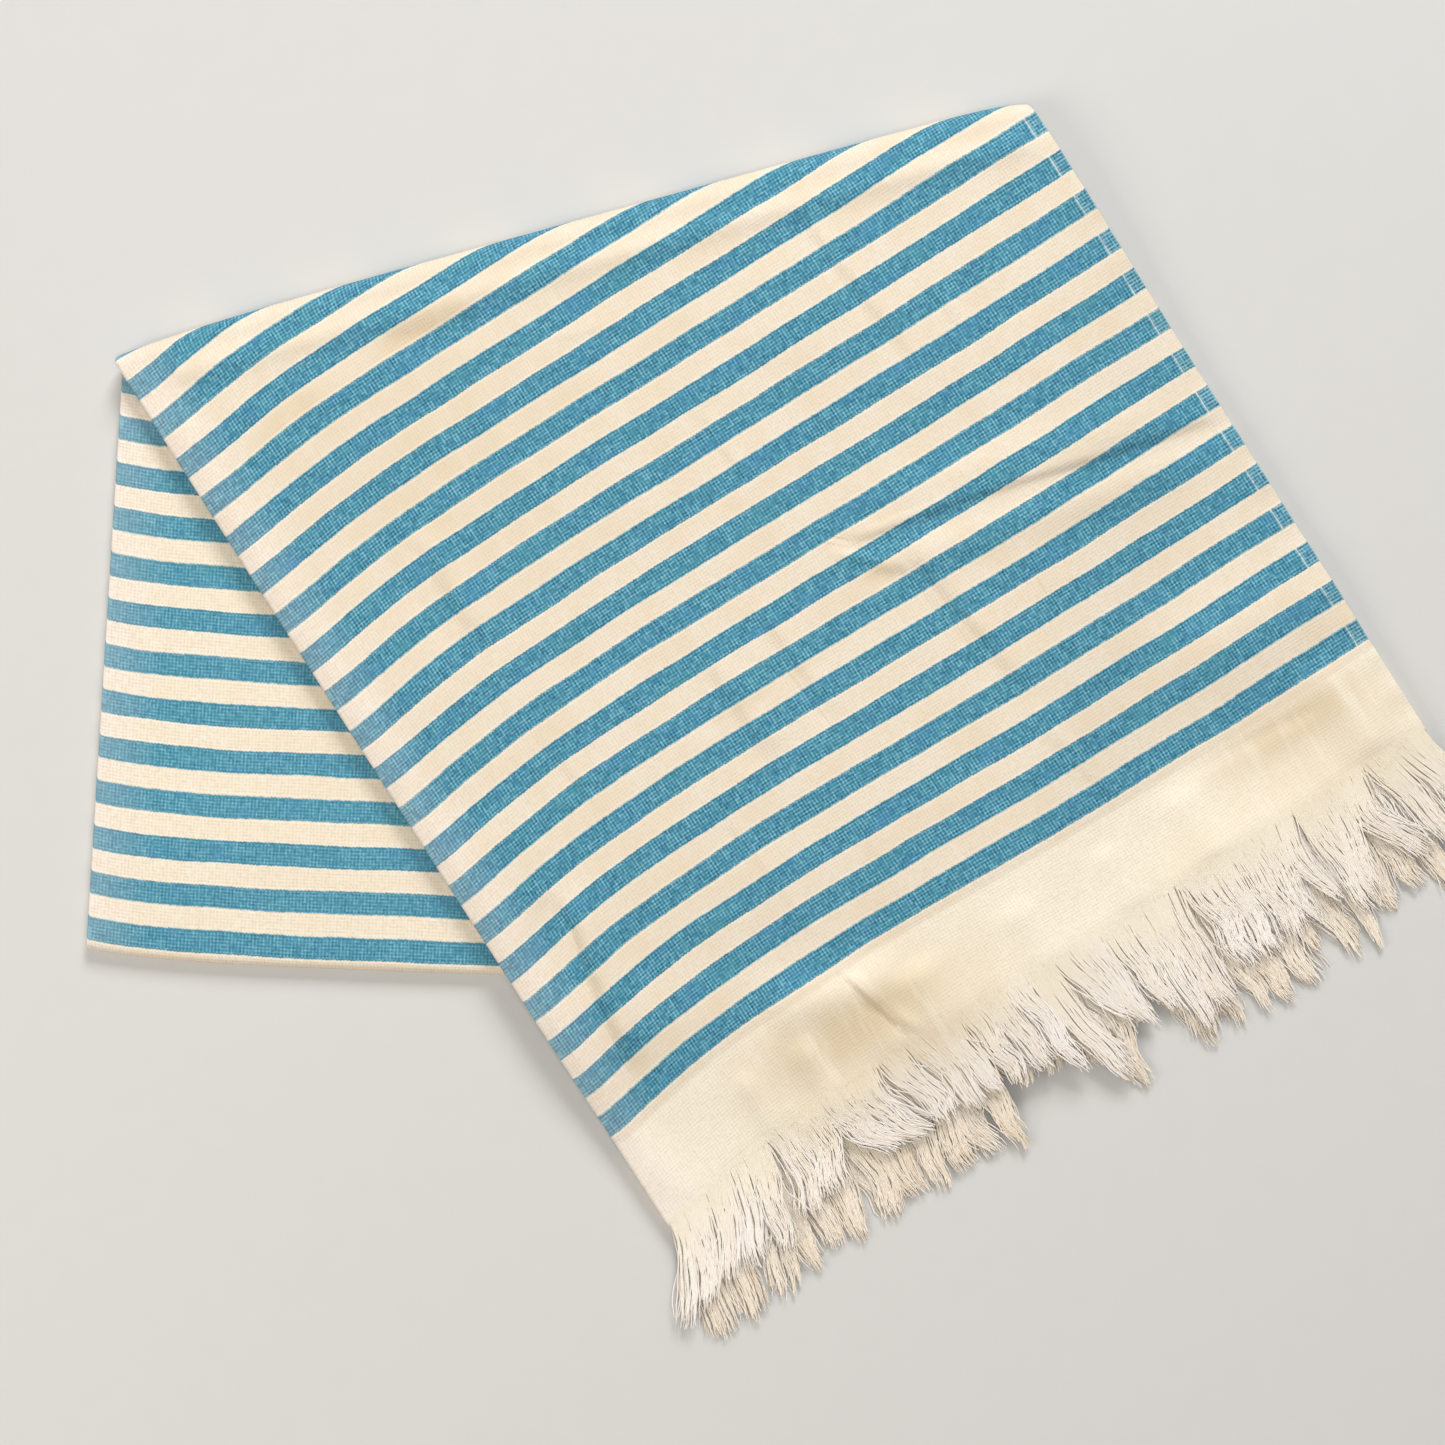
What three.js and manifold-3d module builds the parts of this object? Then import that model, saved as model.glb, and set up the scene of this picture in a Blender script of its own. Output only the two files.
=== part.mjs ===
// A striped, flat-woven cotton towel with a fringe at both ends. It is folded in half lengthwise,
// then in half crosswise, and then doubled over on a slanting fold, so that both fringed ends lie
// together in the upper part and reach past the lower part.
// Millimetres, +Z up. The towel lies on z = 0, with the origin under the middle of its outline.
import * as THREE from "three";
import Module from "manifold-3d";
import { mergeVertices } from "three/addons/utils/BufferGeometryUtils.js";

const wasm = await Module();
wasm.setup();

// The cloth, doubled lengthwise into a band of two leaves. The inner leaf is a little narrower.
const HALF_WIDTH = 472;
const INNER_SHORT = 4;
const THICKNESS = 1.5;

// Distance from one layer's middle to the next: at folds and edges, and out in the open.
const PITCH_AT_EDGE = 2.1;
const PITCH_OPEN = 2.6;
const LOFT_REACH = 30;

// Where the cloth lies. The sharp corner is where the left edge would meet the slanting fold.
const CORNER = new THREE.Vector2(-365.3, 198.4);
const WARP_ANGLE = THREE.MathUtils.degToRad(-57.45);
const FOLD_ANGLE = THREE.MathUtils.degToRad(15.25);

// Upper part: from the slanting fold to the cloth's end, along the warp. The lower pair of layers
// reaches further, because it takes the shorter way round the fold.
const UPPER_END = 540;
const LOWER_PAIR_EXTRA = 14;
const END_TAPER = 110;

// Lower part: from the slanting fold to the crosswise fold, and how far its left edge is drawn in.
const LOWER_END = 315.5;
const LOWER_BOW = 6;
const LOWER_BOW_REACH = 35;
const PULL_IN = 8.5;
const CROSS_TAPER = 60;

// Noses of the folds: how much longer than high they are. The slanting fold's is shorter at both
// ends, which rounds the corners of the outline.
const SLANT_STRETCH = { open: 1.55, left: 0.95, leftReach: 40, right: 1.1, rightReach: 14 };
const CROSS_STRETCH = 1.2;

// Where the upper part comes down from the lower part to the floor.
const DROP_START = 12;
const DROP_LENGTH = 90;

// Soft swells of the upper part, as lines in plan with a height and a half width.
const SWELLS = [
  { name: "main crease", from: [8.7, 92.4], to: [215.7, 165.4], height: 1.8, reach: 15 },
  { name: "left roll", from: [-295.3, 128.9], to: [-100.3, -176.1], height: 1.2, reach: 24 },
  { name: "plain band", from: [144.7, -51.1], to: [294.7, 43.9], height: 1.6, reach: 30 },
];

// The weft is bowed: it sags across the width, more towards the fringe, and turns at the left fold.
const SAG = { depth: 7.3, middle: 146, spread: 136, from: 88.5, to: 473.8 };
const TURN_DOWN = { depth: 8.4, reach: 44, power: 1.6 };

// Mesh steps
const COLUMNS = 18;
const COLUMN_POWER = 1.25;
const LEFT_FOLD_STEPS = 4;
const STEPS = { upper: 13, slant: 6, lower: 4, cross: 5, slantInner: 5 };

// The fringe: a narrow strip of the cloth's end, and the locks that are fused into it.
const STRIP = { gap: 0.3, width: 6 };
const LOCK = { length: 68, height: 1.2, rise: 0.5, rootRise: 0.15, rootInside: 3.5 };
const LOCK_WIDTH = { root: 6, tip: 3 };
const LOCK_STEPS = [0, 0.26, 0.62, 1];
const LOCKS_PER_LAYER = 46;
const LOCK_DRIFT = { place: 0.12, sway: 4, swayStep: 0.8, turn: 1.5, length: 0.08 };
const EDGE_MARGIN = 5;
const SETTLE = { from: 14, to: 80, pitch: 1.55 };

// How the locks lie across the width: turn in degrees from the warp, and length as a share.
const LOCK_LIE = [
  { share: 0.0, turn: -44, length: 0.8 },
  { share: 0.06, turn: -26, length: 0.8 },
  { share: 0.11, turn: 2, length: 0.85 },
  { share: 0.18, turn: -4, length: 0.84 },
  { share: 0.24, turn: 18, length: 0.9 },
  { share: 0.36, turn: 4, length: 0.95 },
  { share: 0.4, turn: 10, length: 0.7 },
  { share: 0.5, turn: 26, length: 1.0 },
  { share: 0.6, turn: 4, length: 0.95 },
  { share: 0.72, turn: 2, length: 1.02 },
  { share: 0.85, turn: -18, length: 0.98 },
  { share: 0.93, turn: 22, length: 1.0 },
  { share: 1.0, turn: 30, length: 1.0 },
];

const weftAngle = WARP_ANGLE + Math.PI / 2;
const skew = weftAngle - FOLD_ANGLE;
const slope = Math.tan(skew);
const unit = (angle) => new THREE.Vector2(Math.cos(angle), Math.sin(angle));
const along = unit(FOLD_ANGLE);
const inward = unit(FOLD_ANGLE - Math.PI / 2);
const warp = unit(WARP_ANGLE);
const weft = unit(weftAngle);
const lowerWarp = unit(FOLD_ANGLE - Math.PI / 2 - skew);
const lowerWeft = unit(FOLD_ANGLE - skew);

const clamp01 = (x) => Math.min(1, Math.max(0, x));
const smooth = (x) => clamp01(x) ** 2 * (3 - 2 * clamp01(x));
const mix = THREE.MathUtils.lerp;

// The slanting fold's nose, out to the outermost face.
const slantReach = SLANT_STRETCH.open * (3.5 * PITCH_AT_EDGE + THICKNESS / 2);
function slantStretch(w) {
  const left = Math.exp(-Math.max(w, 0) / SLANT_STRETCH.leftReach);
  const right = Math.exp((w - HALF_WIDTH) / SLANT_STRETCH.rightReach);
  return mix(mix(SLANT_STRETCH.open, SLANT_STRETCH.left, left), SLANT_STRETCH.right, right);
}

const crossReach = CROSS_STRETCH * (1.5 * PITCH_AT_EDGE + THICKNESS / 2);

// Weft bow of the upper part, and the lower part's crosswise fold line.
function bow(w, t) {
  const along01 = clamp01((t - SAG.from) / (SAG.to - SAG.from));
  const sag = SAG.depth * along01 * Math.exp(-(((w - SAG.middle) / SAG.spread) ** 2));
  const turn = TURN_DOWN.depth * Math.exp(-((Math.max(w, 0) / TURN_DOWN.reach) ** TURN_DOWN.power));
  return turn - sag;
}
const crossLine = (w) => LOWER_END + LOWER_BOW * (1 - Math.exp(-Math.max(w, 0) / LOWER_BOW_REACH));
const upperEnd = (w) => UPPER_END + bow(w, UPPER_END);

// Layer pitch: tight at the left fold, the slanting fold and the far end, and open between them.
function loft(w, fromSlant, toEnd, taper) {
  const fromLeft = 1 - Math.exp(-Math.max(w, 0) / LOFT_REACH);
  const fromFold = 1 - Math.exp(-Math.max(fromSlant - slantReach, 0) / LOFT_REACH);
  return mix(PITCH_AT_EDGE, PITCH_OPEN, fromLeft * fromFold * smooth(toEnd / taper));
}
const lowerPitch = (w, t) =>
  loft(w, (t + w * slope) * Math.cos(skew), crossLine(w) - crossReach - t, CROSS_TAPER);
const upperPitch = (w, t) => loft(w, (t - w * slope) * Math.cos(skew), upperEnd(w) - t, END_TAPER);

// Plan places of a point w across and t along the cloth, in the upper and the lower part.
const upperPlan = (w, t) => CORNER.clone().addScaledVector(weft, w).addScaledVector(warp, t);
const pullIn = (w, t) => PULL_IN * (1 - clamp01(t / LOWER_END)) * (1 - w / HALF_WIDTH);
function lowerPlan(w, t) {
  const place = CORNER.clone().addScaledVector(lowerWeft, w).addScaledVector(lowerWarp, t);
  place.x += pullIn(w, t);
  return place;
}

// How high the lower part lifts the upper part at a plan place: four layers, down to the floor.
function lifted(place) {
  const from = place.clone().sub(CORNER);
  const w = from.dot(lowerWeft);
  const t = from.dot(lowerWarp);
  const pastEnd = t - crossLine(w);
  const pastSide = w - HALF_WIDTH;
  const drop = (past) => 1 - smooth((past - DROP_START) / DROP_LENGTH);
  const pitch = lowerPitch(Math.min(w, HALF_WIDTH), Math.min(t, LOWER_END - crossReach));
  return 4 * pitch * drop(pastEnd) * drop(pastSide);
}

// Height of the soft swells at a plan place. They fade out towards the slanting fold.
function swell(place) {
  const fromFold = place.clone().sub(CORNER).dot(inward) - slantReach;
  const total = SWELLS.reduce((sum, { from, to, height, reach }) => {
    const start = new THREE.Vector3(...from, 0);
    const line = new THREE.Line3(start, new THREE.Vector3(...to, 0));
    const here = new THREE.Vector3(place.x, place.y, 0);
    const away = here.distanceTo(line.closestPointToPoint(here, true, new THREE.Vector3()));
    return sum + height * Math.exp(-((away / reach) ** 2));
  }, 0);
  return total * smooth(fromFold / LOFT_REACH);
}

const point = (plan, z) => new THREE.Vector3(plan.x, plan.y, z);

// Upper part: rank counts its layers' middles up from the lowest, 0 to 3.
function upperPoint(w, t, rank, off) {
  const place = upperPlan(w, t);
  const middle = THICKNESS / 2 + rank * upperPitch(w, t);
  return point(place, lifted(place) + swell(place) + middle + off);
}
function lowerPoint(w, t, rank, off) {
  return point(lowerPlan(w, t), THICKNESS / 2 + rank * lowerPitch(w, t) + off);
}

// A station is one place along the band. It puts a point that lies w across and h outwards,
// with h from -1 to 1 in half pitches for the leaf and off in millimetres through its thickness.
const slantUpper = (w) => (slantReach + w * Math.sin(skew)) / Math.cos(skew);
const slantLower = (w) => (slantReach - w * Math.sin(skew)) / Math.cos(skew);

function upperStation(share, pairRank, outwards, extra = 0) {
  return (w, h, off) => {
    const t = mix(slantUpper(w), upperEnd(w), share);
    return upperPoint(w, t + extra, pairRank + (outwards * h) / 2, outwards * off);
  };
}

function lowerStation(share, pairRank, outwards) {
  return (w, h, off) => {
    const t = mix(slantLower(w), crossLine(w) - crossReach, share);
    return lowerPoint(w, t, pairRank + (outwards * h) / 2, outwards * off);
  };
}

// Round the slanting fold, from the upper part at share 0 to the lower part at share 1.
function slantStation(share, upperRank, lowerRank, outwards) {
  return (w, h, off) => {
    const leaf = (outwards * h) / 2;
    const top = upperPoint(w, slantUpper(w), upperRank + leaf, outwards * off);
    const bottom = lowerPoint(w, slantLower(w), lowerRank - leaf, -outwards * off);
    const radius = (top.z - bottom.z) / 2;
    const turn = share * Math.PI;
    const reach = slantReach - slantStretch(w) * radius * Math.sin(turn);
    const sideways = w / Math.cos(skew) + slantReach * (1 - 2 * share) * slope;
    const place = CORNER.clone().addScaledVector(along, sideways).addScaledVector(inward, reach);
    place.x += pullIn(w, slantLower(w)) * smooth(share);
    return point(place, (top.z + bottom.z) / 2 + radius * Math.cos(turn));
  };
}

// Round the crosswise fold, from the lowest layers at share 0 to the lower part's top at share 1.
function crossStation(share) {
  return (w, h, off) => {
    const line = crossLine(w) - crossReach;
    const radius = PITCH_AT_EDGE * (1 + h / 2) + off;
    const turn = share * Math.PI;
    const place = lowerPlan(w, line + CROSS_STRETCH * radius * Math.sin(turn));
    return point(place, THICKNESS / 2 + 1.5 * PITCH_AT_EDGE - radius * Math.cos(turn));
  };
}

const shares = (steps, first = 0) =>
  Array.from({ length: steps - first + 1 }, (_, i) => (i + first) / steps);

const bandStations = [
  ...shares(STEPS.upper).map((s) => upperStation(1 - s, 2.5, 1)),
  ...shares(STEPS.slant, 1).map((s) => slantStation(s, 2.5, 0.5, 1)),
  ...shares(STEPS.lower, 1).map((s) => lowerStation(s, 0.5, -1)),
  ...shares(STEPS.cross, 1).map((s) => crossStation(s)),
  ...shares(STEPS.lower, 1).map((s) => lowerStation(1 - s, 2.5, 1)),
  ...shares(STEPS.slantInner, 1).map((s) => slantStation(1 - s, 0.5, 2.5, -1)),
  ...shares(STEPS.upper, 1).map((s) => upperStation(s, 0.5, -1)),
  upperStation(1, 0.5, -1, LOWER_PAIR_EXTRA),
];

// The band's section: along the outer leaf to the left fold, round it, and back along the inner
// leaf. Each entry has its place across, the leaf height h, and the way its thickness goes.
function bandSection() {
  const columns = shares(COLUMNS).map((s) => s ** COLUMN_POWER);
  const outer = columns.map((s) => ({ w: s * HALF_WIDTH, h: 1, across: 0, up: 1 }));
  const inner = columns.map((s) => ({ w: s * (HALF_WIDTH - INNER_SHORT), h: -1, across: 0, up: -1 }));
  const turns = shares(LEFT_FOLD_STEPS, 1).slice(0, -1).map((s) => s * Math.PI);
  const fold = turns.map((a) => ({
    w: (-PITCH_AT_EDGE / 2) * Math.sin(a),
    h: Math.cos(a),
    across: -Math.sin(a),
    up: Math.cos(a),
  }));
  return [...outer.reverse(), ...fold, ...inner];
}
const section = bandSection();

function stationRing(station) {
  const face = (half) => section.map((e) => station(e.w + half * e.across, e.h, half * e.up));
  return [...face(THICKNESS / 2), ...face(-THICKNESS / 2).reverse()];
}

// How far the line between two points turns from one fixed slant in plan, as a cosine.
const slant = unit(WARP_ANGLE + Math.PI / 4);
function lean(a, b) {
  const plan = new THREE.Vector2(b.x - a.x, b.y - a.y).normalize();
  return Math.abs(plan.dot(slant));
}

// A closed solid through a list of rings of equal length, with its two ends capped leaf by leaf.
// Each face is split along the same slant in plan, so that layers over each other stay parallel.
function sweptGeometry(rings) {
  const size = rings[0].length;
  const last = rings.length - 1;
  const points = rings.flat();
  const positions = points.flatMap((p) => [p.x, p.y, p.z]);
  const index = [];
  function quad(a, b, c, d) {
    if (lean(points[a], points[c]) > lean(points[b], points[d])) index.push(a, b, c, a, c, d);
    else index.push(a, b, d, b, c, d);
  }
  for (let i = 0; i < last; i++) {
    for (let j = 0; j < size; j++) {
      const next = (j + 1) % size;
      quad(i * size + j, (i + 1) * size + j, (i + 1) * size + next, i * size + next);
    }
  }
  for (let j = 0; j < size / 2 - 1; j++) {
    const [a, b, c, d] = [j, j + 1, size - 2 - j, size - 1 - j];
    quad(a, b, c, d);
    quad(last * size + d, last * size + c, last * size + b, last * size + a);
  }
  const geometry = new THREE.BufferGeometry();
  geometry.setAttribute("position", new THREE.Float32BufferAttribute(positions, 3));
  geometry.setIndex(index);
  return geometry;
}

// Steady unevenness from lock to lock, with nothing random.
const uneven = (i, step) => (1000 * Math.sin(i * step)) % 1;

function lieAt(share) {
  const next = LOCK_LIE.findIndex((row) => row.share >= share && row.share > 0);
  const [a, b] = [LOCK_LIE[next - 1], LOCK_LIE[next]];
  const part = smooth((share - a.share) / (b.share - a.share));
  return { turn: mix(a.turn, b.turn, part), length: mix(a.length, b.length, part) };
}

// Height of the fringe's layers: they come down to the floor and close up towards their tips.
function lockLevel(place, rank) {
  const from = place.clone().sub(CORNER);
  const past = from.dot(warp) - upperEnd(from.dot(weft));
  const settled = clamp01((past - SETTLE.from) / (SETTLE.to - SETTLE.from));
  return lifted(place) + swell(place) + rank * mix(PITCH_AT_EDGE, SETTLE.pitch, settled);
}

// One lock: a tapered, three-sided strand that leaves along the warp and then turns as it lies.
function lockRings(i, rank, endAt, width) {
  const share = (i + 0.5 + LOCK_DRIFT.place * uneven(i + 9 * rank, 1.7)) / LOCKS_PER_LAYER;
  const lie = lieAt(share);
  const w = mix(EDGE_MARGIN, width - EDGE_MARGIN, share);
  const sway = LOCK_DRIFT.sway * Math.sin(i * LOCK_DRIFT.swayStep + 2 * rank);
  const drift = sway + LOCK_DRIFT.turn * uneven(i + 5 * rank, 2.3);
  const turn = THREE.MathUtils.degToRad(lie.turn + drift);
  const length = LOCK.length * lie.length * (1 + LOCK_DRIFT.length * uneven(i + 3 * rank, 3.1));
  let place = upperPlan(w, upperEnd(w) + endAt + STRIP.gap + STRIP.width - LOCK.rootInside);
  return LOCK_STEPS.map((s, n) => {
    const heading = WARP_ANGLE + turn * s ** 0.7;
    const forward = unit(heading);
    if (n > 0) place = place.clone().addScaledVector(forward, length * (s - LOCK_STEPS[n - 1]));
    const side = new THREE.Vector2(-forward.y, forward.x);
    const half = mix(LOCK_WIDTH.root, LOCK_WIDTH.tip, s) / 2;
    const rise = n === 0 ? LOCK.rootRise : Math.sign(rank) * LOCK.rise;
    const z = lockLevel(place, rank) + rise;
    return [
      point(place.clone().addScaledVector(side, -half), z),
      point(place.clone().addScaledVector(side, half), z),
      point(place, z + LOCK.height),
    ];
  });
}

function lockGeometry(rings) {
  const positions = rings.flat().flatMap((p) => [p.x, p.y, p.z]);
  const index = [0, 2, 1];
  const last = 3 * (rings.length - 1);
  for (let i = 0; i < rings.length - 1; i++) {
    for (let j = 0; j < 3; j++) {
      const [a, b] = [3 * i + j, 3 * i + ((j + 1) % 3)];
      index.push(a, b, b + 3, a, b + 3, a + 3);
    }
  }
  index.push(last, last + 1, last + 2);
  const geometry = new THREE.BufferGeometry();
  geometry.setAttribute("position", new THREE.Float32BufferAttribute(positions, 3));
  geometry.setIndex(index);
  return geometry;
}

function toSolid(geometry) {
  const merged = mergeVertices(geometry, 1e-4);
  return new wasm.Manifold(
    new wasm.Mesh({
      numProp: 3,
      vertProperties: new Float32Array(merged.attributes.position.array),
      triVerts: new Uint32Array(merged.index.array),
    }),
  );
}

function fromSolid(solid) {
  const made = solid.getMesh();
  const geometry = new THREE.BufferGeometry();
  geometry.setAttribute("position", new THREE.BufferAttribute(made.vertProperties, 3));
  geometry.setIndex(new THREE.BufferAttribute(made.triVerts, 1));
  return geometry;
}

// The fringe of one end of the towel: a strip bent round the left fold, with two layers of locks.
function fringeGeometry(pairRank, outwards, endAt) {
  const from = upperStation(1, pairRank, outwards, endAt + STRIP.gap);
  const to = upperStation(1, pairRank, outwards, endAt + STRIP.gap + STRIP.width);
  const ends = outwards > 0 ? [to, from] : [from, to];
  let fringe = toSolid(sweptGeometry(ends.map(stationRing)));
  for (const leaf of [1, -1]) {
    const rank = pairRank + (outwards * leaf) / 2;
    const width = leaf > 0 ? HALF_WIDTH : HALF_WIDTH - INNER_SHORT;
    for (let i = 0; i < LOCKS_PER_LAYER; i++) {
      fringe = fringe.add(toSolid(lockGeometry(lockRings(i, rank, endAt, width))));
    }
  }
  return fromSolid(fringe);
}

const towel = new THREE.Group();

function addPiece(name, geometry, color, roughness) {
  geometry.computeVertexNormals();
  const material = new THREE.MeshStandardMaterial({ color, roughness, metalness: 0 });
  const mesh = new THREE.Mesh(geometry, material);
  mesh.name = name;
  towel.add(mesh);
}

addPiece("cloth", sweptGeometry(bandStations.map(stationRing)), 0xd9cdb8, 0.9);
addPiece("fringe_upper", fringeGeometry(2.5, 1, 0), 0xe9ded0, 0.95);
addPiece("fringe_lower", fringeGeometry(0.5, -1, LOWER_PAIR_EXTRA), 0xe0d2bb, 0.95);

export default towel;
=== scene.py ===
"""A striped, flat-woven cotton towel with fringed ends, folded and lying flat.

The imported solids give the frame. The cloth is made again as one fine sheet on the same folds, with
its creases, and each end's fringe as single yarns in locks. Plan sizes are in millimetres and are
turned into metres where a mesh is made.
"""

import logging
import math
from dataclasses import dataclass
from enum import Enum
from functools import cached_property
from typing import NamedTuple

import bpy
import numpy as np
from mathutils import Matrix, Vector


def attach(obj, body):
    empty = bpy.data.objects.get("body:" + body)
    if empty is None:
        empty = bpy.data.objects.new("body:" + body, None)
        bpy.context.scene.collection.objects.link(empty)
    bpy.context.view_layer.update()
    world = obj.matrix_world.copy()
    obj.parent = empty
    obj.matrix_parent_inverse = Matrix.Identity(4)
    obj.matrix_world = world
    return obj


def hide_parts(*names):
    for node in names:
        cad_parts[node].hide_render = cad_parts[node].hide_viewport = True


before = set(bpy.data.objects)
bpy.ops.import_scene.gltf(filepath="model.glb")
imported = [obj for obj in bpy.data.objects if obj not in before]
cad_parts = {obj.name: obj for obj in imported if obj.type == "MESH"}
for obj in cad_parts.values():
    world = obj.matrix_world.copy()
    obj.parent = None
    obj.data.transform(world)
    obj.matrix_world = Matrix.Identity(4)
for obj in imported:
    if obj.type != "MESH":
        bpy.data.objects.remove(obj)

LOG = logging.getLogger("towel")
MM = 0.001
MM_PER_METRE = 1000.0
TURN = 2 * math.pi
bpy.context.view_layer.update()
PHOTO_SPAN_MM = 759.6
PHOTO_CENTRE_MM = (-45.0, 1.8)
STEP_SCALE = 2.33

Array = np.ndarray
Pair = tuple[float, float]


def smooth(x: Array) -> Array:
    """An S-curve from 0 at 0 to 1 at 1."""
    y = np.clip(x, 0.0, 1.0)
    return y * y * (3.0 - 2.0 * y)


def mix(a: Array, b: Array, share: Array) -> Array:
    """The value a share of the way from a to b."""
    return a + (b - a) * share


def direction(angle: float) -> Array:
    """The plan vector of length 1 at an angle in radians."""
    return np.stack([np.cos(angle), np.sin(angle)], axis=-1)


def raised(place: Array, z: Array) -> Array:
    """Plan places and their heights, joined as points."""
    return np.concatenate([place, z[..., None]], axis=-1)


def shares(count: int, first: int = 1) -> list[float]:
    """Even shares up to 1, in a number of steps."""
    return [i / count for i in range(first, count + 1)]


class CreaseForm(Enum):
    """The shapes that a crease's section can have."""

    RIDGE = "ridge"
    STEP = "step"


@dataclass(frozen=True)
class Crease:
    """A ridge, trough or step of the upper part, along a line in plan."""

    start: Pair
    end: Pair
    height: float
    reach: float
    form: CreaseForm = CreaseForm.RIDGE
    fade: float = 0.25

    def lift(self, place: Array) -> Array:
        """Height of the crease at plan places.

        Args:
            place: plan places, the last axis holding x and y.

        Returns:
            Millimetres above the cloth's even level.
        """
        start = np.array(self.start)
        run = np.array(self.end) - start
        length = float(np.hypot(*run))
        ahead = (place - start) @ run / length**2
        aside = ((place - start) @ np.array([-run[1], run[0]])) / length / self.reach
        section = np.exp(-(aside**2))
        if self.form is CreaseForm.STEP:
            section = section * aside * STEP_SCALE
        return self.height * section * smooth(ahead / self.fade) * smooth((1 - ahead) / self.fade)


@dataclass(frozen=True)
class Ripple:
    """One long, low wave of the cloth over the whole upper part."""

    angle: float
    wavelength: float
    height: float
    phase: float

    def lift(self, place: Array) -> Array:
        """Height of the wave at plan places."""
        ahead = place @ direction(math.radians(self.angle))
        return self.height * np.sin(TURN * ahead / self.wavelength + self.phase)


@dataclass(frozen=True)
class EdgeWave:
    """Small, uneven waves along an edge, which fade away from it."""

    height: float
    reach: float
    wavelength: float
    wander: float
    wander_length: float

    def lift(self, away: Array, along: Array) -> Array:
        """Height of the waves at distances from the edge and along it."""
        turns = along / self.wavelength + self.wander * np.sin(along / self.wander_length)
        return self.height * np.exp(-away / self.reach) * np.sin(TURN * turns)


SWELLS = (
    # The roll of the left fold.
    Crease((-342, 176), (-68, -254), 2.5, 10, CreaseForm.RIDGE, 0.06),
    # Beside the main crease, above and below it.
    Crease((24, 112), (204, 170), 2.5, 11),
    Crease((19, 76), (227, 146), 1.8, 10),
    # The slope at the lower right, and the crest of the plain band.
    Crease((170, 22), (292, 84), 2.7, 22),
    Crease((-32, -150), (56, -128), 3.6, 13),
    # Along the cloth's end, at the right and at the left.
    Crease((72, -164), (310, -12), 2.7, 18),
    Crease((-8, -216), (46, -182), 2.5, 11),
    # The flutes of the plain band, from left to right.
    Crease((-37, -178), (-8, -224), 2, 7),
    Crease((-8, -162), (19, -204), 2, 8),
    Crease((52, -120), (80, -164), 3.4, 12),
    Crease((104, -88), (132, -132), 2, 12),
    Crease((150, -60), (176, -101), 1.8, 8),
    Crease((190, -30), (218, -75), 2.2, 11),
    Crease((262, 38), (300, -22), 2.7, 13),
)

CREASES = (
    # The roll of the slanting fold.
    Crease((-340, 183), (123, 310), 3.1, 9, CreaseForm.RIDGE, 0.04),
    # The main crease, from left to right.
    Crease((14, 93), (80, 114), 1.2, 5, CreaseForm.STEP),
    Crease((50, 106), (164, 143), 1.5, 6, CreaseForm.STEP, 0.2),
    Crease((146, 138), (218, 162), 1.3, 6, CreaseForm.STEP),
    # The tuck where it starts, and the dip beside that.
    Crease((10, 93), (38, 89), -1.8, 3.6, CreaseForm.STEP, 0.4),
    Crease((30, 83), (54, 78), 1.2, 5.5, CreaseForm.STEP, 0.4),
    # The thin crease across the plain band.
    Crease((16, -128), (41, -151), 1.7, 3.6, CreaseForm.STEP, 0.35),
    Crease((34, -144), (83, -184), 2.1, 4.2, CreaseForm.STEP, 0.35),
    # Lines along the warp.
    Crease((46, 97), (113, 13), 1.8, 9, CreaseForm.STEP),
    Crease((-31, 64), (15, 0), 1.3, 6, CreaseForm.STEP),
    Crease((-61, 40), (-18, -22), 1.7, 9, CreaseForm.STEP),
    Crease((-47, -44), (6, -117), 1, 4, CreaseForm.STEP),
    Crease((-134, -82), (-94, -184), 3.9, 11, CreaseForm.STEP),
    Crease((-13, 275), (55, 187), 1, 5, CreaseForm.STEP),
    Crease((-208, 101), (-171, 38), 1.7, 10, CreaseForm.STEP),
    Crease((117, 18), (163, -39), -1.2, 6, CreaseForm.STEP),
    Crease((134, -6), (150, -34), 0.9, 3.6, CreaseForm.STEP),
    Crease((-139, -6), (-117, -36), 0.8, 3.6, CreaseForm.STEP),
    Crease((-60, 166), (-34, 126), 0.8, 4, CreaseForm.STEP),
    Crease((60, 232), (86, 196), 0.7, 4, CreaseForm.STEP),
    # Lines along the weft.
    Crease((192, -28), (274, 14), -0.7, 3.4),
    Crease((-226, 199), (-165, 216), 0.8, 8, CreaseForm.STEP),
    Crease((-140, 196), (-98, 206), 0.8, 6, CreaseForm.STEP),
)

RIPPLES = (
    Ripple(20, 210, 0.16, 0.4),
    Ripple(-48, 150, 0.22, 1.9),
    Ripple(75, 118, 0.22, 3.1),
    Ripple(-12, 83, 0.14, 5),
    Ripple(33, 52, 0.10, 2.2),
    Ripple(28, 37, 0.06, 0.9),
    Ripple(-64, 41, 0.07, 4.1),
)


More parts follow.
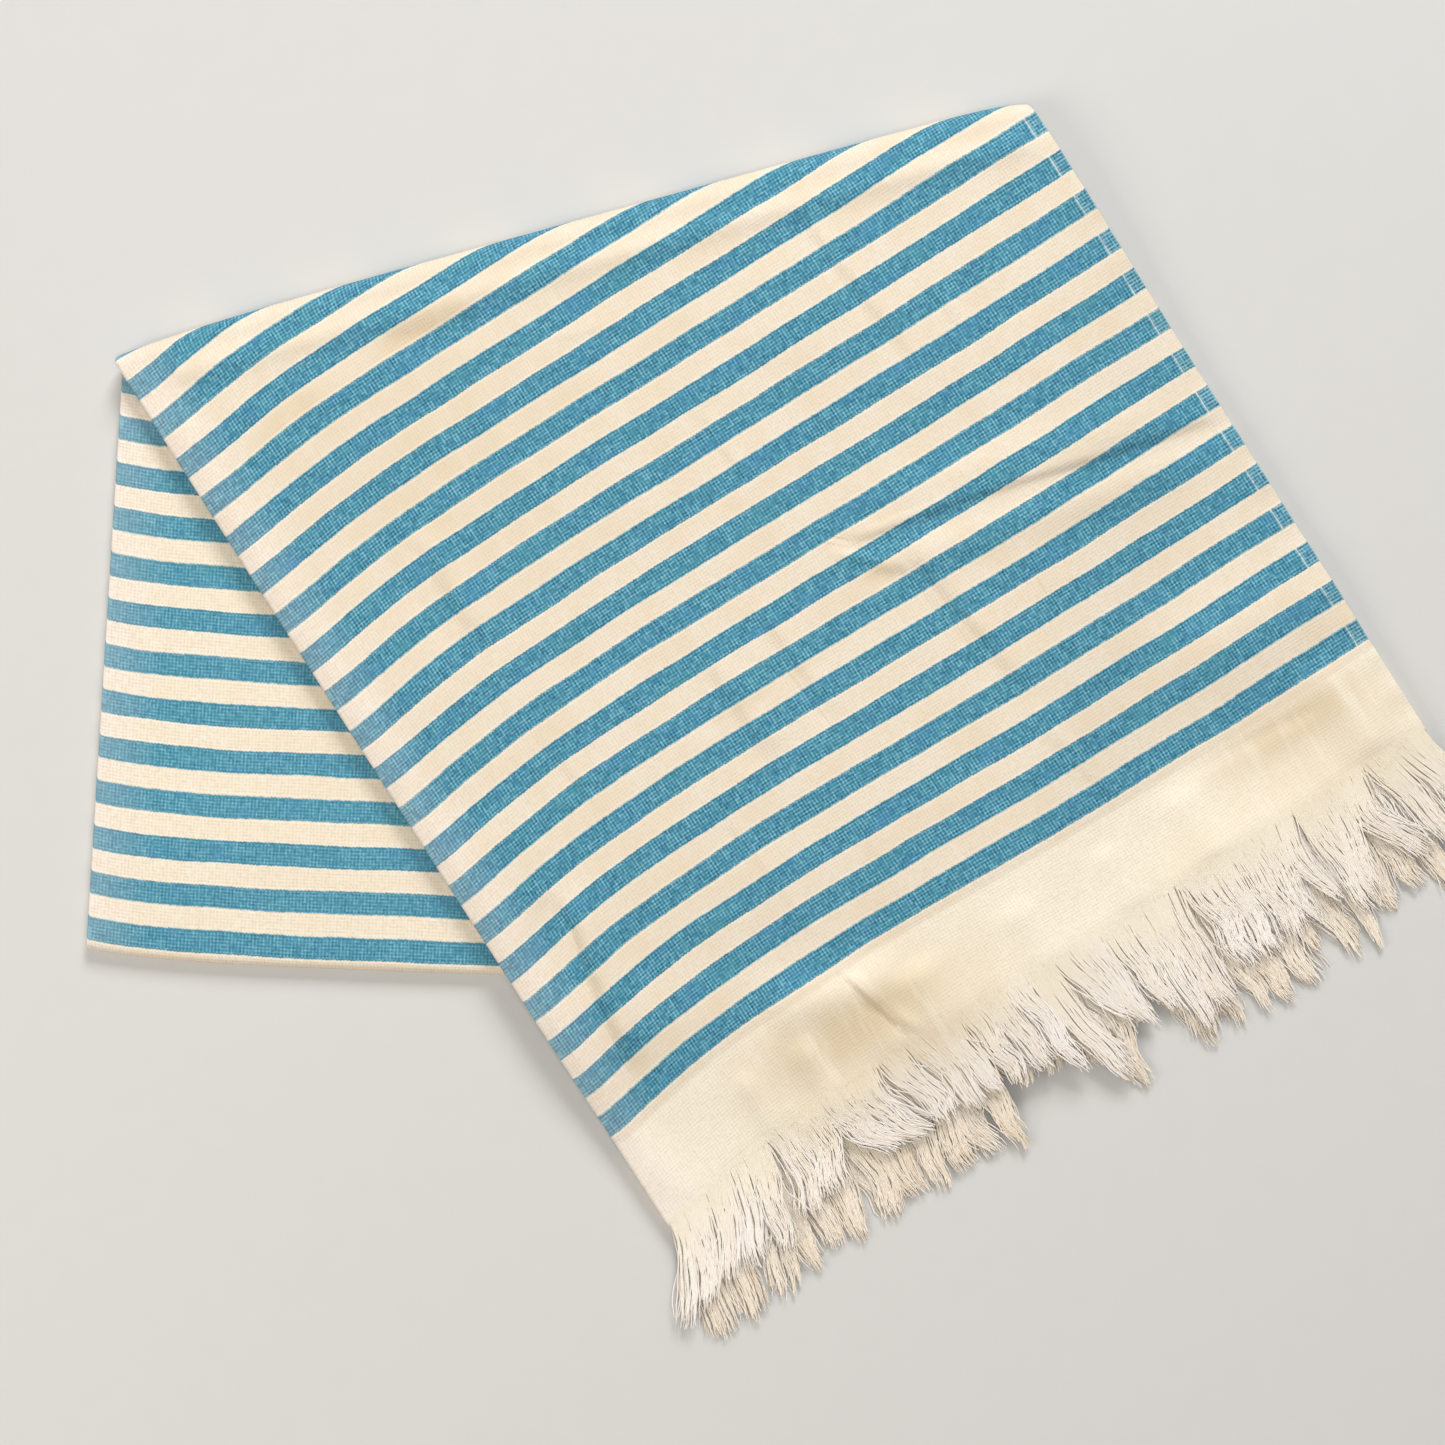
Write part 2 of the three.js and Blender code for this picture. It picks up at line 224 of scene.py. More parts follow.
@dataclass(frozen=True)
class FoldPlan:
    """Where each part of the folded cloth lies, worked out from its sizes."""

    half_width: float = 472.0
    inner_short: float = 4.0
    thickness: float = 1.5
    pitch_at_edge: float = 2.1
    pitch_open: float = 2.6
    loft_reach: float = 30.0
    corner: Pair = (-365.3, 198.4)
    warp_angle: float = math.radians(-57.45)
    fold_angle: float = math.radians(15.25)
    upper_end: float = 540.0
    lower_pair_extra: float = 14.0
    end_taper: float = 110.0
    lower_end: float = 315.5
    lower_bow: float = 6.0
    lower_bow_reach: float = 35.0
    pull_in: float = 8.5
    cross_taper: float = 60.0
    lower_layers: int = 4
    slant_ranks: float = 3.5
    slant_stretch: float = 1.55
    slant_stretch_left: float = 0.95
    slant_left_reach: float = 40.0
    slant_stretch_right: float = 1.1
    slant_right_reach: float = 14.0
    cross_ranks: float = 1.5
    cross_stretch: float = 1.2
    drop_start: float = 12.0
    drop_length: float = 90.0
    sag_depth: float = 7.3
    sag_middle: float = 146.0
    sag_spread: float = 136.0
    sag_from: float = 88.5
    sag_to: float = 473.8
    turn_depth: float = 8.4
    turn_reach: float = 44.0
    turn_power: float = 1.6

    @property
    def weft_angle(self) -> float:
        """Angle of the upper part's weft in plan."""
        return self.warp_angle + math.pi / 2

    @property
    def skew(self) -> float:
        """Angle between the weft and the slanting fold."""
        return self.weft_angle - self.fold_angle

    @property
    def slant_reach(self) -> float:
        """How far the slanting fold's nose goes beyond where it starts."""
        return self.slant_stretch * (self.slant_ranks * self.pitch_at_edge + self.thickness / 2)

    @property
    def cross_reach(self) -> float:
        """How far the crosswise fold's nose goes beyond where it starts."""
        return self.cross_stretch * (self.cross_ranks * self.pitch_at_edge + self.thickness / 2)

    def nose_stretch(self, w: Array) -> Array:
        """How much longer than high the slanting fold's nose is, across the width."""
        left = np.exp(-np.maximum(w, 0) / self.slant_left_reach)
        right = np.exp((w - self.half_width) / self.slant_right_reach)
        open_or_left = mix(self.slant_stretch, self.slant_stretch_left, left)
        return mix(open_or_left, self.slant_stretch_right, right)

    def bow(self, w: Array, t: Array) -> Array:
        """How far the weft lies from straight, towards the fringe."""
        share = np.clip((t - self.sag_from) / (self.sag_to - self.sag_from), 0, 1)
        sag = self.sag_depth * share * np.exp(-(((w - self.sag_middle) / self.sag_spread) ** 2))
        across = np.maximum(w, 0) / self.turn_reach
        return self.turn_depth * np.exp(-(across**self.turn_power)) - sag

    def cross_line(self, w: Array) -> Array:
        """Where the crosswise fold's outline lies, along the lower part."""
        return self.lower_end + self.lower_bow * (1 - np.exp(-np.maximum(w, 0) / self.lower_bow_reach))

    def cloth_end(self, w: Array) -> Array:
        """Where the upper pair of layers ends, along the upper part."""
        return self.upper_end + self.bow(w, self.upper_end)

    def slant_upper(self, w: Array) -> Array:
        """Where the upper part meets the slanting fold's nose."""
        return (self.slant_reach + w * math.sin(self.skew)) / math.cos(self.skew)

    def slant_lower(self, w: Array) -> Array:
        """Where the lower part meets the slanting fold's nose."""
        return (self.slant_reach - w * math.sin(self.skew)) / math.cos(self.skew)

    def loft(self, w: Array, from_slant: Array, to_end: Array, taper: float) -> Array:
        """Distance between layers: tight at folds and ends, and open between them."""
        from_left = 1 - np.exp(-np.maximum(w, 0) / self.loft_reach)
        from_fold = 1 - np.exp(-np.maximum(from_slant - self.slant_reach, 0) / self.loft_reach)
        return mix(self.pitch_at_edge, self.pitch_open, from_left * from_fold * smooth(to_end / taper))

    def lower_pitch(self, w: Array, t: Array) -> Array:
        """Distance between the lower part's layers."""
        from_slant = (t + w * math.tan(self.skew)) * math.cos(self.skew)
        to_end = self.cross_line(w) - self.cross_reach - t
        return self.loft(w, from_slant, to_end, self.cross_taper)

    def upper_pitch(self, w: Array, t: Array) -> Array:
        """Distance between the upper part's layers."""
        from_slant = (t - w * math.tan(self.skew)) * math.cos(self.skew)
        return self.loft(w, from_slant, self.cloth_end(w) - t, self.end_taper)

    def upper_plan(self, w: Array, t: Array) -> Array:
        """Plan places w across and t along the upper part."""
        across = np.multiply.outer(w, direction(self.weft_angle))
        return np.array(self.corner) + across + np.multiply.outer(t, direction(self.warp_angle))

    def lower_axes(self) -> tuple[Array, Array]:
        """The lower part's weft and warp directions in plan."""
        weft = self.fold_angle - self.skew
        return direction(weft), direction(weft - math.pi / 2)

    def drawn_in(self, w: Array, t: Array) -> Array:
        """How far the lower part's left side is drawn in."""
        return self.pull_in * (1 - np.clip(t / self.lower_end, 0, 1)) * (1 - w / self.half_width)

    def lower_plan(self, w: Array, t: Array) -> Array:
        """Plan places w across and t along the lower part."""
        weft, warp = self.lower_axes()
        place = np.array(self.corner) + np.multiply.outer(w, weft) + np.multiply.outer(t, warp)
        place[..., 0] += self.drawn_in(w, t)
        return place

    def lifted(self, place: Array) -> Array:
        """How high the lower part lifts the upper part.

        Args:
            place: plan places, the last axis holding x and y.

        Returns:
            Millimetres above the floor: all the lower layers, and down to nothing beyond them.
        """
        weft, warp = self.lower_axes()
        away = place - np.array(self.corner)
        w, t = away @ weft, away @ warp
        past_end = smooth((t - self.cross_line(w) - self.drop_start) / self.drop_length)
        past_side = smooth((w - self.half_width - self.drop_start) / self.drop_length)
        inside = np.minimum(t, self.lower_end - self.cross_reach)
        pitch = self.lower_pitch(np.minimum(w, self.half_width), inside)
        return self.lower_layers * pitch * (1 - past_end) * (1 - past_side)

    def from_slant(self, place: Array) -> Array:
        """Distance of plan places from where the slanting fold's nose starts."""
        inward = direction(self.fold_angle - math.pi / 2)
        return (place - np.array(self.corner)) @ inward - self.slant_reach

    def swell(self, place: Array) -> Array:
        """Height of the soft swells, which all of the upper part's layers share."""
        total = sum(each.lift(place) for each in SWELLS)
        return total * smooth(self.from_slant(place) / self.loft_reach)


class Ring(NamedTuple):
    """One trip round the doubled band's section, as arrays with an entry for each point.

    The fields hold the place across, the leaf's height in half pitches, the offset through the
    thickness, the place across the unfolded cloth, and how much of the fine relief a point takes.
    """

    across: Array
    leaf: Array
    off: Array
    flat: Array
    relief: Array


@dataclass
class FoldedCloth:
    """The whole cloth, as one closed sheet swept round its three folds."""

    plan: FoldPlan
    name: str = "striped_cloth"
    fine_columns: int = 182
    fine_power: float = 1.1
    inner_columns: int = 26
    back_columns: int = 32
    fold_steps: int = 8
    edge_steps: int = 4
    upper_steps: int = 184
    slant_steps: int = 18
    bottom_steps: int = 14
    cross_steps: int = 12
    lower_steps: int = 62
    inner_slant_steps: int = 8
    under_steps: int = 34
    outer_pair: float = 2.5
    inner_pair: float = 0.5
    thin_end: Pair = (7.0, 0.72)
    puckers: EdgeWave = EdgeWave(0.45, 9.0, 26.0, 0.6, 71.0)
    puffs: EdgeWave = EdgeWave(0.35, 26.0, 63.0, 0.4, 41.0)
    relief_fade: float = 16.0
    relief_fade_left: float = 22.0
    puff_fade: float = 10.0
    deepest: float = -0.4
    rear_share: float = 0.6
    rear_deepest: float = -0.5
    rear_fade: float = 40.0
    rear_fade_left: float = 30.0
    cross_offset: float = 1.1
    rear_stretch: float = 1.01
    middle: float = 846.6

    def row(self, w: Array, leaf: Array, side: Array, up: Array, flat: Array, relief: float) -> Array:
        """Stacks one stretch of the ring as columns, moved off the sheet's middle."""
        half = self.plan.thickness / 2
        return np.stack(np.broadcast_arrays(w + half * side, leaf, half * up, flat, relief), axis=-1)

    @cached_property
    def ring(self) -> Ring:
        """The band's section.

        Returns:
            The points: from the top leaf's selvedge to the left fold and round it, along the inner
            leaf, round its selvedge, and back on the other faces.
        """
        plan = self.plan
        wide, narrow = plan.half_width, plan.half_width - plan.inner_short
        fold = np.linspace(0, math.pi, self.fold_steps + 1)[1:-1]
        back_fold = fold[::-1]
        edge = np.linspace(0, math.pi, self.edge_steps + 1)[1:-1]
        fold_w = -plan.pitch_at_edge / 2 * np.sin(fold)
        fold_flat = 1 - 2 * fold / math.pi
        fine = np.linspace(1, 0, self.fine_columns + 1) ** self.fine_power * wide
        inner = np.linspace(0, 1, self.inner_columns + 1) * narrow
        back = np.linspace(0, 1, self.back_columns + 1) * wide
        rows = [
            self.row(fine, 1, 0, 1, fine, 1.0),
            self.row(fold_w, np.cos(fold), -np.sin(fold), np.cos(fold), fold_flat, 0.0),
            self.row(inner, -1, 0, -1, -inner, 0.0),
            self.row(narrow, -1, np.sin(edge), -np.cos(edge), -narrow, 0.0),
            self.row(inner[::-1], -1, 0, 1, -inner[::-1], 0.0),
            self.row(fold_w[::-1], np.cos(back_fold), np.sin(back_fold), -np.cos(back_fold), 0, 0.0),
            self.row(back, 1, 0, -1, back, 1.0),
            self.row(wide, 1, np.sin(edge), -np.cos(edge), wide, 1.0),
        ]
        return Ring(*np.concatenate(rows).T)

    def relief(self, t: Array, place: Array) -> Array:
        """Fine creases and unevenness of the sheet that shows.

        Args:
            t: where the ring's points lie along the upper part.
            place: the same points in plan.

        Returns:
            Millimetres above the even level, faded out at the folds and at the cloth's end.
        """
        plan, w = self.plan, self.ring.across
        rise = sum(each.lift(place) for each in CREASES) + sum(each.lift(place) for each in RIPPLES)
        puckers = self.puckers.lift(np.maximum(plan.half_width - w, 0), t)
        from_fold = np.maximum(plan.from_slant(place), 0)
        inside = smooth(from_fold / self.relief_fade) * smooth(np.maximum(w, 0) / self.relief_fade_left)
        inside = inside * smooth((plan.cloth_end(w) - t) / self.relief_fade)
        puffs = self.puffs.lift(from_fold, w) * smooth(from_fold / self.puff_fade)
        return (rise + puckers) * inside + puffs

    def upper(self, t: Array, rank: float, outwards: int) -> Array:
        """Places the ring on the upper part.

        Args:
            t: where each of its points lies along the part.
            rank: the pair's middle, in layers from the part's lowest one.
            outwards: 1 for the pair whose face shows, -1 for the pair turned over.

        Returns:
            The points in millimetres.
        """
        plan, ring, w = self.plan, self.ring, self.ring.across
        place = plan.upper_plan(w, t)
        level = plan.thickness / 2 + (rank + outwards * ring.leaf / 2) * plan.upper_pitch(w, t)
        reach, share = self.thin_end
        end = plan.cloth_end(w) + (outwards < 0) * plan.lower_pair_extra
        off = ring.off * (1 - share * smooth(1 - (end - t) / reach))
        z = plan.lifted(place) + plan.swell(place) + level + outwards * off
        if outwards > 0:
            z = z + ring.relief * np.maximum(self.relief(t, place), self.deepest)
        return raised(place, z)

    def lower(self, t: Array, rank: float, outwards: int) -> Array:
        """Places the ring on the lower part.

        Args:
            t: where each of its points lies along the part.
            rank: the pair's middle, in layers from the part's lowest one.
            outwards: 1 for the pair whose face shows, -1 for the pair turned over.

        Returns:
            The points in millimetres.
        """
        plan, ring, w = self.plan, self.ring, self.ring.across
        place = plan.lower_plan(w, t)
        level = plan.thickness / 2 + (rank + outwards * ring.leaf / 2) * plan.lower_pitch(w, t)
        z = level + outwards * ring.off
        if outwards > 0:
            waves = sum(each.lift(place) for each in RIPPLES)
            bare = smooth((plan.cross_line(w) - t) / self.rear_fade)
            bare = bare * smooth(np.maximum(w, 0) / self.rear_fade_left)
            z = z + self.rear_share * ring.relief * np.maximum(waves, self.rear_deepest) * bare
        return raised(place, z)

    def upper_station(self, share: float, rank: float, outwards: int, extra: float = 0.0) -> Array:
        """Places the ring at a share of the way from the slanting fold to the cloth's end."""
        start, end = self.plan.slant_upper(self.ring.across), self.plan.cloth_end(self.ring.across)
        return self.upper(mix(start, end, share) + extra, rank, outwards)

    def lower_station(self, share: float, rank: float, outwards: int) -> Array:
        """Places the ring at a share of the way from the slanting fold to the crosswise fold."""
        plan, w = self.plan, self.ring.across
        end = plan.cross_line(w) - plan.cross_reach
        return self.lower(mix(plan.slant_lower(w), end, share), rank, outwards)

    def slant_station(self, share: float, upper: float, lower: float, outwards: int) -> Array:
        """Places the ring on the way round the slanting fold.

        Args:
            share: 0 at the upper part and 1 at the lower part.
            upper: the pair's rank in the upper part.
            lower: its rank in the lower part.
            outwards: 1 where the pair's face shows in the upper part, and otherwise -1.

        Returns:
            The points in millimetres.
        """
        plan, w = self.plan, self.ring.across
        top = self.upper(plan.slant_upper(w), upper, outwards)[..., 2]
        bottom = self.lower(plan.slant_lower(w), lower, -outwards)[..., 2]
        radius = (top - bottom) / 2
        turn = share * math.pi
        reach = plan.slant_reach - plan.nose_stretch(w) * radius * math.sin(turn)
        slope = math.tan(plan.skew)
        sideways = w / math.cos(plan.skew) + plan.slant_reach * (1 - 2 * share) * slope
        place = np.array(plan.corner) + np.multiply.outer(sideways, direction(plan.fold_angle))
        place = place + np.multiply.outer(reach, direction(plan.fold_angle - math.pi / 2))
        place[..., 0] += plan.drawn_in(w, plan.slant_lower(w)) * smooth(share)
        return raised(place, (top + bottom) / 2 + radius * math.cos(turn))

    def cross_station(self, share: float) -> Array:
        """Places the ring on the way round the crosswise fold.

        Args:
            share: 0 at the lowest layers and 1 at the lower part's top ones.

        Returns:
            The points in millimetres.
        """
        plan, ring, w = self.plan, self.ring, self.ring.across
        line = plan.cross_line(w) - plan.cross_reach
        radius = plan.pitch_at_edge * (1 + ring.leaf / 2) + ring.off
        turn = share * math.pi
        place = plan.lower_plan(w, line + plan.cross_stretch * radius * math.sin(turn))
        middle = plan.thickness / 2 + plan.cross_ranks * plan.pitch_at_edge
        return raised(place, middle - radius * math.cos(turn))

    def stations(self) -> Array:
        """Places the ring at every step along the band.

        Returns:
            The points in millimetres, by station and ring entry.
        """
        outer, inner = self.outer_pair, self.inner_pair
        made = [self.upper_station(1 - s, outer, 1) for s in shares(self.upper_steps, 0)]
        made += [self.slant_station(s, outer, inner, 1) for s in shares(self.slant_steps)]
        made += [self.lower_station(s, inner, -1) for s in shares(self.bottom_steps)]
        made += [self.cross_station(s) for s in shares(self.cross_steps)]
        made += [self.lower_station(1 - s, outer, 1) for s in shares(self.lower_steps)]
        made += [self.slant_station(1 - s, inner, outer, -1) for s in shares(self.inner_slant_steps)]
        made += [self.upper_station(s, inner, -1) for s in shares(self.under_steps)]
        made.append(self.upper_station(1.0, inner, -1, self.plan.lower_pair_extra))
        return np.stack(made)

    def along(self, points: Array) -> Array:
        """Distance of each point from the cloth's end, measured along the unfolded cloth.

        Args:
            points: the stations' points.

        Returns:
            Millimetres from the upper pair's end, by station and ring entry.
        """
        plan, w = self.plan, self.ring.across
        upper = self.upper_steps
        bottom = upper + self.slant_steps + self.bottom_steps
        apex = bottom + self.cross_steps // 2
        lower = bottom + self.cross_steps + self.lower_steps
        gaps = np.linalg.norm(np.diff(points, axis=0), axis=-1)
        arc = np.concatenate([np.zeros((1, gaps.shape[1])), np.cumsum(gaps, axis=0)])
        out = arc.copy()
        for i in range(upper + 1):
            t = mix(plan.cloth_end(w), plan.slant_upper(w), i / upper)
            out[i] = plan.upper_end - (t - plan.bow(w, t - plan.bow(w, t)))
        crossing = self.middle - self.cross_offset
        hidden = (arc[upper : apex + 1] - arc[upper]) / (arc[apex] - arc[upper])
        out[upper : apex + 1] = mix(out[upper], crossing, hidden)
        out[apex : lower + 1] = crossing + (arc[apex : lower + 1] - arc[apex]) * self.rear_stretch
        rest = (arc[lower:] - arc[lower]) / (arc[-1] - arc[lower])
        out[lower:] = mix(out[lower], 2 * self.middle, rest)
        return out

    def build(self) -> bpy.types.Object:
        """Makes the sheet's mesh.

        Returns:
            The object, with the places on the unfolded cloth, in metres, as its UV map.
        """
        points = self.stations()
        along = self.along(points)
        rows, size = points.shape[:2]
        i, j = np.meshgrid(np.arange(rows - 1), np.arange(size), indexing="ij")
        k = (j + 1) % size
        quads = np.stack([i * size + j, (i + 1) * size + j, (i + 1) * size + k, i * size + k], -1)
        faces = quads.reshape(-1, 4).tolist() + self.caps((rows - 1) * size)
        flat = np.broadcast_to(self.ring.flat, along.shape)
        uv = np.stack([flat, along], axis=-1).reshape(-1, 2) * MM
        return mesh_object(self.name, points.reshape(-1, 3) * MM, faces, {"flat": uv})

    def caps(self, base: int) -> list[list[int]]:
        """Faces that close the two cut ends of the band.

        Args:
            base: the last ring's first vertex.

        Returns:
            Faces for the first ring, then the same ones turned round for the last.
        """
        selvedge = self.fine_columns + self.fold_steps + self.inner_columns + 1
        outer = list(range(selvedge))
        inner = list(range(len(self.ring.across) - 1, selvedge - 1, -1))
        outer_path, inner_path = self.path(outer), self.path(inner)
        faces: list[list[int]] = []
        a, b = 0, 0
        while a + 1 < len(outer) or b + 1 < len(inner):
            outer_next = outer_path[a + 1] if a + 1 < len(outer) else math.inf
            inner_next = inner_path[b + 1] if b + 1 < len(inner) else math.inf
            if outer_next <= inner_next:
                faces.append([outer[a], outer[a + 1], inner[b]])
                a += 1
            else:
                faces.append([outer[a], inner[b + 1], inner[b]])
                b += 1
        return faces + [[base + v for v in reversed(face)] for face in faces]

    def path(self, entries: list[int]) -> Array:
        """How far along one face of the section each entry lies, as a share."""
        steps = np.hypot(np.diff(self.ring.across[entries]), np.diff(self.ring.leaf[entries]))
        total = np.concatenate([[0.0], np.cumsum(steps)])
        return total / total[-1]


class Lock(NamedTuple):
    """A lock of yarns: its start and tip across, its reach past the cloth, and its tip's width."""

    base: float
    tip: float
    reach: float
    tip_width: float


UPPER_LOCKS = (
    Lock(4, -18, 50, 14), Lock(16, -3, 48, 13), Lock(30, 12, 46, 13), Lock(45, 29, 49, 16),
    Lock(58, 45, 53, 11), Lock(72, 68, 45, 15), Lock(88, 84, 43, 14), Lock(107, 122, 42, 13),
    Lock(126, 138, 44, 16), Lock(145, 154, 45, 14), Lock(162, 169, 47, 16), Lock(178, 184, 44, 9),
    Lock(192, 196, 46, 8), Lock(206, 211, 47, 13), Lock(220, 226, 58, 7), Lock(234, 245, 73, 12),
    Lock(250, 265, 48, 12), Lock(264, 270, 55, 6), Lock(279, 284, 55, 9), Lock(294, 295, 71, 14),
    Lock(311, 310, 69, 13), Lock(327, 330, 55, 15), Lock(343, 344, 56, 14), Lock(359, 360, 57, 14),
    Lock(372, 371, 55, 8), Lock(384, 387, 51, 7), Lock(397, 401, 64, 12), Lock(412, 407, 55, 8),
    Lock(427, 439, 55, 14), Lock(443, 453, 58, 13), Lock(457, 474, 57, 14), Lock(467, 489, 60, 9),
)

LOWER_LOCKS = (
    Lock(8, -5, 58, 21), Lock(24, 13, 62, 16), Lock(39, 35, 63, 18), Lock(54, 54, 63, 6),
    Lock(71, 68, 60, 14), Lock(87, 82, 65, 9), Lock(103, 103, 65, 13), Lock(120, 118, 62, 13),
    Lock(135, 131, 67, 12), Lock(150, 148, 65, 16), Lock(164, 164, 65, 12), Lock(178, 178, 70, 7),
    Lock(195, 196, 43, 14), Lock(214, 214, 44, 15), Lock(234, 238, 54, 11), Lock(248, 250, 74, 7),
    Lock(263, 261, 45, 11), Lock(279, 287, 52, 8), Lock(294, 293, 73, 15), Lock(309, 308, 72, 11),
    Lock(323, 327, 74, 8), Lock(337, 339, 75, 8), Lock(352, 353, 75, 15), Lock(367, 364, 60, 6),
    Lock(382, 381, 74, 11), Lock(395, 393, 75, 4), Lock(410, 410, 63, 11), Lock(426, 427, 60, 12),
    Lock(441, 440, 75, 8), Lock(456, 466, 66, 13),
)


@dataclass(frozen=True)
class YarnLie:
    """How unevenly yarns lie, as usual drifts and as pairs of the least and the most.

    The pulls are a curve's near and far one, and the lift's wave is its height and its rate.
    """

    hidden_tip_drift: float = 1.5
    hidden_loss: float = 0.07
    margin: float = 0.6
    lock_mixing: float = 1.7
    widest: float = 1.3
    fan: Pair = (0.6, 1.15)
    tip_drift: float = 1.0
    length: Pair = (0.86, 1.05)
    side_loss: float = 0.06
    strays: float = 0.06
    strays_from: float = 14.0
    stray_drift: float = 7.0
    stray_length: Pair = (0.5, 1.0)
    corner_room: float = 1.0
    inset: Pair = (2.5, 8.0)
    across_pulls: Pair = (0.04, 0.6)
    along_pulls: Pair = (0.33, 0.7)
    lock_curl: float = 2.3
    own_curl: float = 1.0
    sway_drift: float = 0.5
    sway_length: Pair = (20.0, 46.0)
    lock_sway: Pair = (0.4, 2.0)
    own_sway: Pair = (0.6, 1.1)
    kink_length: Pair = (8.0, 13.0)
    kink: Pair = (0.08, 0.34)
    late: Pair = (-0.02, 0.2)
    late_drift: float = 0.02
    free_rate: float = 2.2
    seat_rate: float = 1.5
    dome: Pair = (0.1, 1.2)
    dome_loss: float = 0.35
    loose: Pair = (0.0, 0.42)
    lift_wave: Pair = (0.12, 5.0)
    root: Pair = (0.16, 0.36)
    lock_tone: float = 0.25
    tone_power: float = 1.7


def curve(s: Array, pulls: Pair) -> Array:
    """How far a yarn has come across or along, on a curve with a near and a far pull."""
    near, far = pulls
    return near * (3 * s * (1 - s) ** 2) + far * (3 * s**2 * (1 - s)) + s**3


class Layout(NamedTuple):
    """How one layer's yarns are shared out, with an entry for each yarn.

    The fields hold the lock's number, the start and the tip across, the reach past the cloth, and
    the place in the lock, from -1 to 1 or a little more.
    """

    lock: Array
    start: Array
    tip: Array
    reach: Array
    in_lock: Array


class Strands(NamedTuple):
    """Yarns as lines of points.

    The fields hold the centre points, the directions sideways in plan, a tone for each yarn, where
    each starts across, how far past the cloth each point lies, and its share of the way from where
    its lock comes free.
    """

    line: Array
    side: Array
    tone: Array
    start: Array
    past: Array
    share: Array


